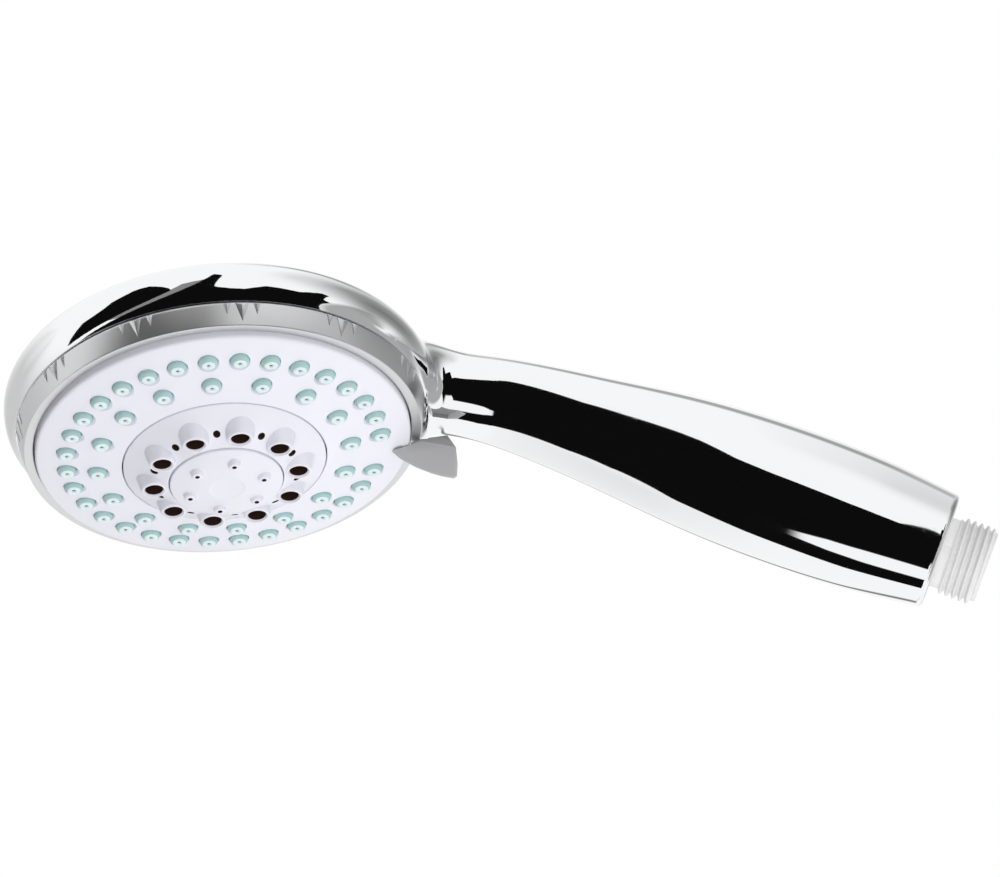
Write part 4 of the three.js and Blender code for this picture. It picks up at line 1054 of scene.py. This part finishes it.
class SHOWER_OT_face_plate(bpy.types.Operator):
    """Build the turning spray plate with a hole for each nozzle"""

    bl_idname = "shower.face_plate"
    bl_label = "Face plate"

    def execute(self, context):
        sizes = sizes_in_mm(context.scene.shower_face)
        inner = INSERT_R + GAP
        outline = rounded(
            [
                (inner, face_z(inner), 0.3),
                (FACE_R, face_z(FACE_R), 1.1),
                (FACE_R, SKIRT_Z),
                (SKIRT_R, SKIRT_Z),
                (SKIRT_R, face_z(SKIRT_R) - PLATE_THICK),
                (inner, face_z(inner) - PLATE_THICK),
            ]
        )
        plate = lathe(outline, 240)
        plate.materials.append(MATERIALS["pearl_plastic"])
        hole_r = sizes.nozzle_radius + 0.14
        for count, radius, phase, left_out in nozzle_circles(sizes):
            z = face_z(radius)
            top = z + 1.2
            # The hole's upper edge is eased, which leaves a fine shaded ring round each nozzle.
            cone = [(0, top), (hole_r + 0.95, top), (hole_r, z - 0.25), (hole_r, z - 4), (0, z - 4)]
            cutters = ring_of(lathe(cone, 32), count, radius, phase, "pearl_plastic", left_out)
            plate = boolean(plate, cutters)
        plate = boolean(plate, peg_hole())
        finished("face_plate_fine", plate, FROM_FACE, "spray_face", ["face_plate"], "pearl_plastic")
        return {"FINISHED"}


class SHOWER_OT_nozzles(bpy.types.Operator):
    """Build the soft mat with its domed nozzles, each with a water hole"""

    bl_idname = "shower.nozzles"
    bl_label = "Nozzles"

    def execute(self, context):
        sizes = sizes_in_mm(context.scene.shower_face)
        inner, outer = INSERT_R + GAP + 1.4, SKIRT_R - GAP

        def under(radius):
            return face_z(radius) - PLATE_THICK - GAP

        mat = lathe(
            [
                (inner, under(inner)),
                (outer, under(outer)),
                (outer, under(outer) - MAT_THICK),
                (inner, under(inner) - MAT_THICK),
            ]
        )
        mat.materials.append(MATERIALS["teal_silicone"])
        for count, radius, phase, left_out in nozzle_circles(sizes):
            z = face_z(radius)
            foot, top, wide = under(radius) - MAT_THICK / 2, z + sizes.nozzle_rise, sizes.nozzle_radius
            outline = rounded(
                [
                    (0, foot),
                    (wide, foot),
                    (wide, z + 0.35 * sizes.nozzle_rise, 0.9),
                    (0.6 * wide, top, 1.2),
                    (0.3 * wide, top - 0.06, 0.2),
                    (0.17 * wide, top - 0.35, 0.1),
                    (0.17 * wide, top - 1.6),
                    (0, top - 1.6),
                ],
                3,
            )
            nozzle = lathe(outline, 28)
            mat = boolean(mat, ring_of(nozzle, count, radius, phase, "teal_silicone", left_out), "UNION")
        mat = boolean(mat, peg_hole())
        # The tops of the nozzles get the paler silicone: a painted highlight on the faces turned to the front.
        lit_tips = [(radius, count, phase, 0.78 * wide) for count, radius, phase, _ in nozzle_circles(sizes)]
        painted(mat, "teal_silicone", "silicone_tip", lit_tips, upward=True)
        finished("nozzles", mat, FROM_FACE, "spray_face", ["nozzle_mat"], "teal_silicone", smooth=45)
        return {"FINISHED"}


CONE_TOP_Z = 8.4
CAP_TOP_Z = 10.8
LIP_Z = 6.2
INSERT_FOOT_Z = -4.5
INSERT_WALL = 1.85
TUBE_TOP_Z = 8.3
HOOD_FOOT_Z = 3.4
JET_HOLE_R = 0.95
CORE_HOLE_R = 0.62
TUBE_PHASE = 5.2
JET_PHASE = 23.2
CORE_PHASE = 4.9


def cone_z(radius):
    """Height of the insert's cone."""
    return CONE_TOP_Z - (CONE_TOP_Z - INSERT_EDGE_Z) * (radius - CAP_R) / (INSERT_R - CAP_R)


class SHOWER_OT_insert(bpy.types.Operator):
    """Build the raised cone with its ring of massage tubes"""

    bl_idname = "shower.insert"
    bl_label = "Centre insert"

    def execute(self, context):
        sizes = sizes_in_mm(context.scene.shower_face)
        inner, seat = INSERT_R - INSERT_WALL, CAP_R + GAP
        shoulder = (inner, cone_z(inner) - 2.2)
        ledge = (CAP_R - 1.3, LIP_Z - 1.4)
        cone = lathe(
            rounded(
                [
                    (seat, cone_z(seat), 0.25),
                    (INSERT_R, INSERT_EDGE_Z, 0.35),
                    (INSERT_R, INSERT_FOOT_Z),
                    (inner, INSERT_FOOT_Z),
                    shoulder,
                    ledge,
                    (CAP_R - 1.3, LIP_Z),
                    (seat, LIP_Z),
                ]
            ),
            160,
        )
        cone.materials.append(MATERIALS["insert_plastic"])
        hood = rounded(
            [
                (0, HOOD_FOOT_Z),
                (sizes.tube_base, HOOD_FOOT_Z),
                (sizes.tube_rim + 0.1, TUBE_TOP_Z, 0.7),
                (0, TUBE_TOP_Z),
            ],
            5,
        )
        hoods = ring_of(lathe(hood, 48), sizes.tubes, TUBE_R, TUBE_PHASE, "insert_plastic")
        top, floor = CAP_TOP_Z + 2, INSERT_FOOT_Z - 1
        hoods = boolean(hoods, lathe([(0, floor), (inner, floor), shoulder, ledge, (0, LIP_Z - 1.4)], 160))
        hoods = boolean(hoods, rod(seat, top, LIP_Z, 160))
        mesh = boolean(cone, hoods, "UNION")
        bore = sizes.tube_bore
        way = rounded(
            [
                (0, top),
                (bore + 0.9, top),
                (bore + 0.25, TUBE_TOP_Z + 0.02),
                (bore - 0.12, TUBE_TOP_Z - 0.5),
                (bore - 0.12, floor),
                (0, floor),
            ]
        )
        mesh = boolean(mesh, ring_of(lathe(way, 40), sizes.tubes, TUBE_R, TUBE_PHASE, "insert_plastic"))
        jet = rod(JET_HOLE_R, top, floor, 20)
        mesh = boolean(mesh, ring_of(jet, sizes.tubes, JET_R, JET_PHASE, "insert_plastic"))
        # The walls of the tubes and jets are painted near-black: painted shade inside the holes.
        circles = [(TUBE_R, sizes.tubes, TUBE_PHASE, bore), (JET_R, sizes.tubes, JET_PHASE, 1)]
        painted(mesh, "insert_plastic", "bore_dark", circles)
        finished("insert", mesh, FROM_FACE, "spray_face", ["centre_insert"], "insert_plastic", smooth=35)
        return {"FINISHED"}


class SHOWER_OT_cap(bpy.types.Operator):
    """Build the domed cap with its core jets"""

    bl_idname = "shower.cap"
    bl_label = "Centre cap"

    def execute(self, context):
        sizes = sizes_in_mm(context.scene.shower_face)
        rim_z, under = CONE_TOP_Z + 0.2, LIP_Z + GAP
        rise = CAP_TOP_Z - rim_z
        dome = [(r, CAP_TOP_Z - rise * (r / CAP_R) ** 2) for r in np.linspace(0, CAP_R, 16)]
        outline = [*dome[:-1], *rounded([dome[-2], (*dome[-1], 0.3), (CAP_R, under)])[1:-1], (CAP_R, under)]
        roof_z = CAP_TOP_Z - 2.1
        cap = lathe([*outline, (6, under), (6, roof_z), (0, roof_z)], 128)
        cap.materials.append(MATERIALS["insert_plastic"])
        pip_foot, pip_top = roof_z - 0.7, CAP_TOP_Z + 0.08
        pip = rounded([(0, pip_foot), (2.2, pip_foot), (1.35, pip_top, 0.5), (0, pip_top)], 4)
        pips = ring_of(lathe(pip, 32), sizes.core_jets, CORE_R, CORE_PHASE, "insert_plastic")
        cap = boolean(cap, pips, "UNION")
        # A shallow dish in the middle, inside the ring of jets.
        above = CAP_TOP_Z + 0.2
        dish = rounded([(0, CAP_TOP_Z - 0.45), (4.2, CAP_TOP_Z - 0.35, 2), (6.4, above), (0, above)])
        cap = boolean(cap, lathe(dish, 64))
        hole = rod(CORE_HOLE_R, CAP_TOP_Z + 2, under - 1, 20)
        cap = boolean(cap, ring_of(hole, sizes.core_jets, CORE_R, CORE_PHASE, "insert_plastic"))
        # The walls of the core jets are painted near-black: painted shade inside the holes.
        painted(cap, "insert_plastic", "bore_dark", [(CORE_R, sizes.core_jets, CORE_PHASE, CORE_HOLE_R)])
        finished("cap", cap, FROM_FACE, "spray_face", ["centre_cap"], "insert_plastic", smooth=35)
        return {"FINISHED"}


class SHOWER_OT_lever(bpy.types.Operator):
    """Build the selector lever with its crease and thumb edge"""

    bl_idname = "shower.lever"
    bl_label = "Selector lever"

    def execute(self, context):
        end = HEAD_R + LEVER_REACH
        half = half_width("selector_lever")
        foot_z = -4.8
        ridge = [(16.6, -0.95), (14.6, 1.3), (10.9, 3.9), (7, 5.85)]
        ridge += [(4.3, 6.8), (1.3, 7.5), (0.5, 6.9), (0, 3.2)]
        corners = [(inward, z, 0.45) for inward, z in ridge]
        corners += [(9.2, -2.6, 0.55 * half), (0.6, 0.4, half)]
        corners += [(2, foot_z - 0.2, 1.2), (9.3, foot_z + 0.95, 1.2)]
        work = bmesh.new()
        for inward, z, out in corners:
            for x in (-out, out):
                work.verts.new((x, inward - end, z))
        hull = bmesh.ops.convex_hull(work, input=work.verts)
        inside = [v for v in hull["geom_interior"] if isinstance(v, bmesh.types.BMVert)]
        bmesh.ops.delete(work, geom=inside, context="VERTS")
        bmesh.ops.dissolve_limit(work, angle_limit=math.radians(2), verts=work.verts, edges=work.edges)
        fin = bpy.data.meshes.new("fin")
        work.to_mesh(fin)
        work.free()
        front = bezel_front_z(sizes_in_mm(context.scene.shower_shell))
        plate_r, plate_z = FACE_R + TURNING_GAP, face_z(FACE_R) + GAP
        over_plate = [(0, face_z(0) + GAP), (plate_r, plate_z), (plate_r, SKIRT_Z), (0, SKIRT_Z)]
        fin = boolean(fin, lathe(over_plate, 192))
        fin = boolean(fin, rod(BEZEL_RIM_R + 0.4, front + GAP, SKIRT_Z, 192))
        fin = bevelled(fin, 0.3, 3, 20)
        flush = face_z(PEG_AT)
        peg_foot = flush - PLATE_THICK - GAP - MAT_THICK
        pin = [(0, 0.2), (0.5, 0.2), (0.5, flush)]
        peg = lathe([*pin, (PEG_R, flush), (PEG_R, peg_foot), (0, peg_foot)], 32)
        fin = boolean(fin, at_peg(peg), "UNION")
        finished("lever", fin, FROM_FACE, "spray_face", ["selector_lever"], "grey_lever", smooth=30)
        return {"FINISHED"}


# ---------------------------------------------------------------- inlet

THREAD_R = 20.955 / 2
THREAD_PITCH = 1.814
THREAD_DEPTH = 1.16
THREAD_FROM = 0.6
THREAD_TO = HANDLE_END_Z - 2.2
BORE_R = 7
PLUG_TOP = 11.5
SEAL_AT = 8.05
GROOVE_HALF = 0.75
GROOVE_DEPTH = 1.3
SOCKET_R = 5.6
SOCKET_FOOT = 7.2
PIPE_R = 6.9
PIPE_TOP = 17.5
WATER_R = 3.4
BORE_TOP_Z = 14


def thread_sleeve(inner_r, per_turn=18, sides=144):
    """A right-handed thread: a sleeve whose wall goes in and out with height and angle."""
    rise = THREAD_TO - THREAD_FROM
    rows = round(rise / THREAD_PITCH * per_turn)
    wall = [(THREAD_R, THREAD_FROM + rise * i / rows) for i in range(rows + 1)]
    mesh = lathe([(inner_r, THREAD_FROM), *wall, (inner_r, THREAD_TO)], sides)
    for vertex in mesh.vertices:
        x, y, z = vertex.co
        radius = math.hypot(x, y)
        if radius < THREAD_R - 0.1:
            continue
        turn = (z / THREAD_PITCH - math.atan2(y, x) / TURN) % 1
        fade = min(1, (z - THREAD_FROM) / 0.8, (THREAD_TO - z) / 0.8)
        crest = np.clip(1.45 * (1 - abs(2 * turn - 1)) - 0.18, 0, 1)
        crest = eased(crest) * 0.35 + crest * 0.65
        depth = THREAD_DEPTH * (1 - fade * crest)
        vertex.co.x = x * (THREAD_R - depth) / radius
        vertex.co.y = y * (THREAD_R - depth) / radius
    return mesh


class SHOWER_OT_inlet(bpy.types.Operator):
    """Build the threaded hose inlet with its plug inside the handle"""

    bl_idname = "shower.inlet"
    bl_label = "Inlet"

    def execute(self, context):
        sizes = sizes_in_mm(context.scene.shower_shell)
        root_r, plug_r = THREAD_R - THREAD_DEPTH, sizes.end_radius - sizes.wall - GAP
        start, seal, top = HANDLE_END_Z + GAP, HANDLE_END_Z + SEAL_AT, HANDLE_END_Z + PLUG_TOP
        outline = rounded(
            [
                (BORE_R, 0, 0.4),
                (root_r, 0, 0.35),
                (root_r, start),
                (plug_r, start),
                (plug_r, seal - GROOVE_HALF),
                (plug_r - GROOVE_DEPTH, seal - GROOVE_HALF),
                (plug_r - GROOVE_DEPTH, seal + GROOVE_HALF),
                (plug_r, seal + GROOVE_HALF),
                (plug_r, top, 0.3),
                (PIPE_R, top),
                (PIPE_R, HANDLE_END_Z + PIPE_TOP),
                (SOCKET_R, HANDLE_END_Z + PIPE_TOP),
                (SOCKET_R, HANDLE_END_Z + SOCKET_FOOT),
                (WATER_R, HANDLE_END_Z + SOCKET_FOOT),
                (WATER_R, BORE_TOP_Z),
                (BORE_R, BORE_TOP_Z),
            ]
        )
        mesh = boolean(lathe(outline, 144), thread_sleeve(root_r - 0.6), "UNION")
        finished("inlet", mesh, Matrix(), "body", ["inlet_connector"], "white_plastic", smooth=50)
        return {"FINISHED"}


# ---------------------------------------------------------------- inner pieces and stage


class SHOWER_OT_inner_pieces(bpy.types.Operator):
    """Give every piece inside the shell its finish"""

    bl_idname = "shower.inner_pieces"
    bl_label = "Inner pieces"

    def execute(self, context):
        for part in frame["record"]["subparts"]:
            node = frame["nodes"][part["node"]]
            if node.hide_render:
                continue
            node.data.materials.clear()
            node.data.materials.append(MATERIALS[part["material_slot"]])
        return {"FINISHED"}


CAMERA_AT = Vector((1.2694, -0.9252, 0.0034))
CAMERA_RIGHT = Vector((0.1354, 0.3182, -0.9383))
CAMERA_UP = Vector((0.5712, 0.7488, 0.3363))
CAMERA_LENS, CAMERA_SENSOR = 218.1, 36
FLOOR_Z, FLOOR_HALF = -0.25, 6


def stage_material(name, make):
    """A material of the stage; make(graph) returns its shader."""
    made = bpy.data.materials.new(name)
    made.use_nodes = True
    nodes = made.node_tree.nodes
    nodes.remove(nodes["Principled BSDF"])
    shader = make(Graph(made.node_tree))
    made.node_tree.links.new(shader.socket, nodes["Material Output"].inputs["Surface"])
    return made


def ground():
    """The white floor, which bright metal doesn't show."""

    def white(graph):
        matt = graph.add("ShaderNodeBsdfDiffuse", None, {"Color": (0.9, 0.9, 0.9)})
        glow = graph.add("ShaderNodeEmission", None, {"Color": (1, 1, 1), "Strength": 1.0})
        return graph.add("ShaderNodeMixShader", None, {0: 0.93, 1: matt, 2: glow})

    mesh = bpy.data.meshes.new("floor")
    corners = [(x * FLOOR_HALF, y * FLOOR_HALF, FLOOR_Z) for x, y in ((-1, -1), (1, -1), (1, 1), (-1, 1))]
    mesh.from_pydata(corners, [], [(0, 1, 2, 3)])
    mesh.materials.append(stage_material("floor", white))
    sheet = as_object(mesh, "floor")
    sheet.visible_glossy = False


def screen(name, grey, distance, soft, rows):
    """A curved card round the object that only shows in mirror-like reflections.

    rows are (elevation, azimuth from, azimuth to) in degrees, azimuth 0 being -Y and 90 +X. With soft
    the card fades out over that share of its width and height.
    """
    columns, between = 32, 6
    share = np.linspace(0, 1, between + 1)[:-1, None]
    fine = [np.array(low) * (1 - share) + np.array(high) * share for low, high in zip(rows, rows[1:])]
    fine = np.vstack([*fine, [rows[-1]]])
    across = np.linspace(0, 1, columns + 1)
    along = np.linspace(0, 1, len(fine))
    elevation = np.radians(fine[:, :1])
    azimuth = np.radians(fine[:, 1:2] * (1 - across) + fine[:, 2:] * across)
    flat = np.cos(elevation) * distance
    height = np.repeat(np.sin(elevation) * distance + 0.1, columns + 1, axis=1)
    verts = np.stack([np.sin(azimuth) * flat, -np.cos(azimuth) * flat, height], 2).reshape(-1, 3)
    faces = [
        (first, first + 1, first + columns + 2, first + columns + 1)
        for i in range(len(fine) - 1)
        for first in range(i * (columns + 1), i * (columns + 1) + columns)
    ]
    mesh = bpy.data.meshes.new(name)
    mesh.from_pydata([tuple(v) for v in verts], [], faces)
    cover = np.ones((len(fine), columns + 1))
    if soft:
        edge = np.minimum.outer(np.minimum(along, 1 - along), np.minimum(across, 1 - across))
        cover = eased(np.clip(edge / soft, 0, 1))
    shown = mesh.attributes.new("cover", "FLOAT", "POINT")
    shown.data.foreach_set("value", cover.ravel().astype(np.float32))

    def faded(graph):
        glow = graph.add("ShaderNodeEmission", None, {"Color": (grey, grey, grey), "Strength": 1.0})
        clear = graph.add("ShaderNodeBsdfTransparent")
        amount = graph.add("ShaderNodeAttribute", {"attribute_name": "cover"}, output=2)
        return graph.add("ShaderNodeMixShader", None, {0: amount, 1: clear, 2: glow})

    mesh.materials.append(stage_material(name, faded))
    card = as_object(mesh, name)
    card.visible_camera = False
    card.visible_transmission = False
    card.visible_shadow = False
    card.visible_diffuse = False
    return card


def soft_light(name, centre, target, size, power):
    """A square area light that points at a target."""
    lamp = bpy.data.lights.new(name, "AREA")
    lamp.size = size
    lamp.energy = power
    light = bpy.data.objects.new(name, lamp)
    bpy.context.scene.collection.objects.link(light)
    light.location = centre
    light.rotation_euler = (Vector(target) - Vector(centre)).to_track_quat("-Z", "Y").to_euler()
    light.visible_glossy = False
    return light


# The cards that bright metal shows: name, grey, distance, softness and rows of elevation and azimuths.
SCREENS = (
    (
        "main_flag",
        0.004,
        3.0,
        0,
        [
            *[(-56, 25, 88), (-50, 15, 94), (-42, 0, 120), (-37, -10, 120), (-34, -15, 98)],
            *[(-16, -30, 96), (-13, -34, 77), (-5, -35, 78), (3, -30, 82), (7, -26, 86)],
            *[(11, -22, 97), (14, -16, 109), (16, -14, 120), (21, -10, 125)],
        ],
    ),
    (
        "upper_flag",
        0.004,
        3.0,
        0,
        [(28, -8, 82), (33, -4, 92), (40, 2, 102), (47, 9, 112), (53, 17, 112), (57, 24, 104), (62, 34, 90)],
    ),
    ("thin_strip", 0.25, 3.05, 0, [(20, 20, 110), (29, 20, 100)]),
    ("low_grey", 0.42, 3.1, 0.12, [(-89, -180, 180), (-54, -180, 180)]),
    ("back_grey", 0.2, 3.1, 0.45, [(-80, -270, -100), (5, -240, -100)]),
    ("side_line", 0.4, 3.2, 0.35, [(-14, -178, -152), (20, -178, -152)]),
    ("high_grey", 0.62, 3.1, 0.35, [(0, -150, -5), (89, -150, -5)]),
    (
        "front_line",
        0.2,
        3.2,
        0.4,
        [(-20, -68, -56), (-10, -80, -68), (-3, -100, -88), (4, -116, -104), (14, -130, -118)],
    ),
    (
        "window",
        1.0,
        2.9,
        0.07,
        [
            *[(-42, -60, 25), (-26, -50, 26), (-20, -34, 26), (-16, -13, 13)],
            *[(-9, -13, 11), (-4, -11, 9), (0, -6, 3)],
        ],
    ),
)


class SHOWER_OT_stage(bpy.types.Operator):
    """Set the white floor, soft light, cards and camera"""

    bl_idname = "shower.stage"
    bl_label = "Stage"

    def execute(self, context):
        scene = context.scene
        world = bpy.data.worlds.new("studio")
        world.use_nodes = True
        back = world.node_tree.nodes["Background"]
        back.inputs["Color"].default_value = (1, 1, 1, 1)
        back.inputs["Strength"].default_value = 1.0
        scene.world = world
        scene.view_settings.view_transform = "Standard"

        ground()
        for one in SCREENS:
            screen(*one)
        roof = screen("roof", 0.05, 3.0, 0, [(14, -180, 180), (88, -180, 180)])
        roof.visible_glossy = False
        roof.visible_diffuse = True
        soft_light("front", (0.5, -1.3, -0.1), (0, -0.03, 0.15), 1.2, 8)

        data = bpy.data.cameras.new("camera")
        data.sensor_width = CAMERA_SENSOR
        data.lens = CAMERA_LENS
        data.clip_end = 100
        camera = bpy.data.objects.new("camera", data)
        scene.collection.objects.link(camera)
        right = CAMERA_RIGHT.normalized()
        up = (CAMERA_UP - right * CAMERA_UP.dot(right)).normalized()
        turn = Matrix((right, up, right.cross(up))).transposed().to_4x4()
        camera.matrix_world = Matrix.Translation(CAMERA_AT) @ turn
        scene.camera = camera
        return {"FINISHED"}


class SHOWER_OT_finishes(bpy.types.Operator):
    """Make the finishes of every piece"""

    bl_idname = "shower.finishes"
    bl_label = "Finishes"

    def execute(self, context):
        make_materials(context.scene.shower_finishes)
        return {"FINISHED"}


GROUPS = {"shower_shell": ShellSizes, "shower_face": FaceSizes, "shower_finishes": Finishes}
OPERATORS = (
    SHOWER_OT_finishes,
    SHOWER_OT_shell,
    SHOWER_OT_bezel,
    SHOWER_OT_face_plate,
    SHOWER_OT_nozzles,
    SHOWER_OT_insert,
    SHOWER_OT_cap,
    SHOWER_OT_lever,
    SHOWER_OT_inlet,
    SHOWER_OT_inner_pieces,
    SHOWER_OT_stage,
)


class SHOWER_PT_panel(bpy.types.Panel):
    """The builder's steps and sizes"""

    bl_label = "Shower head"
    bl_space_type = "VIEW_3D"
    bl_region_type = "UI"
    bl_category = "Shower"

    def draw(self, context):
        for name, group in GROUPS.items():
            box = self.layout.box()
            for key in group.__annotations__:
                box.prop(getattr(context.scene, name), key)
        for operator in OPERATORS:
            self.layout.operator(operator.bl_idname)


def register():
    for kind in (*GROUPS.values(), *OPERATORS, SHOWER_PT_panel):
        bpy.utils.register_class(kind)
    for name, group in GROUPS.items():
        setattr(bpy.types.Scene, name, PointerProperty(type=group))


def unregister():
    for name in GROUPS:
        delattr(bpy.types.Scene, name)
    for kind in (SHOWER_PT_panel, *reversed(OPERATORS), *GROUPS.values()):
        bpy.utils.unregister_class(kind)


def main():
    register()
    for operator in OPERATORS:
        family, step = operator.bl_idname.split(".")
        getattr(getattr(bpy.ops, family), step)()


if __name__ == "__main__":
    main()
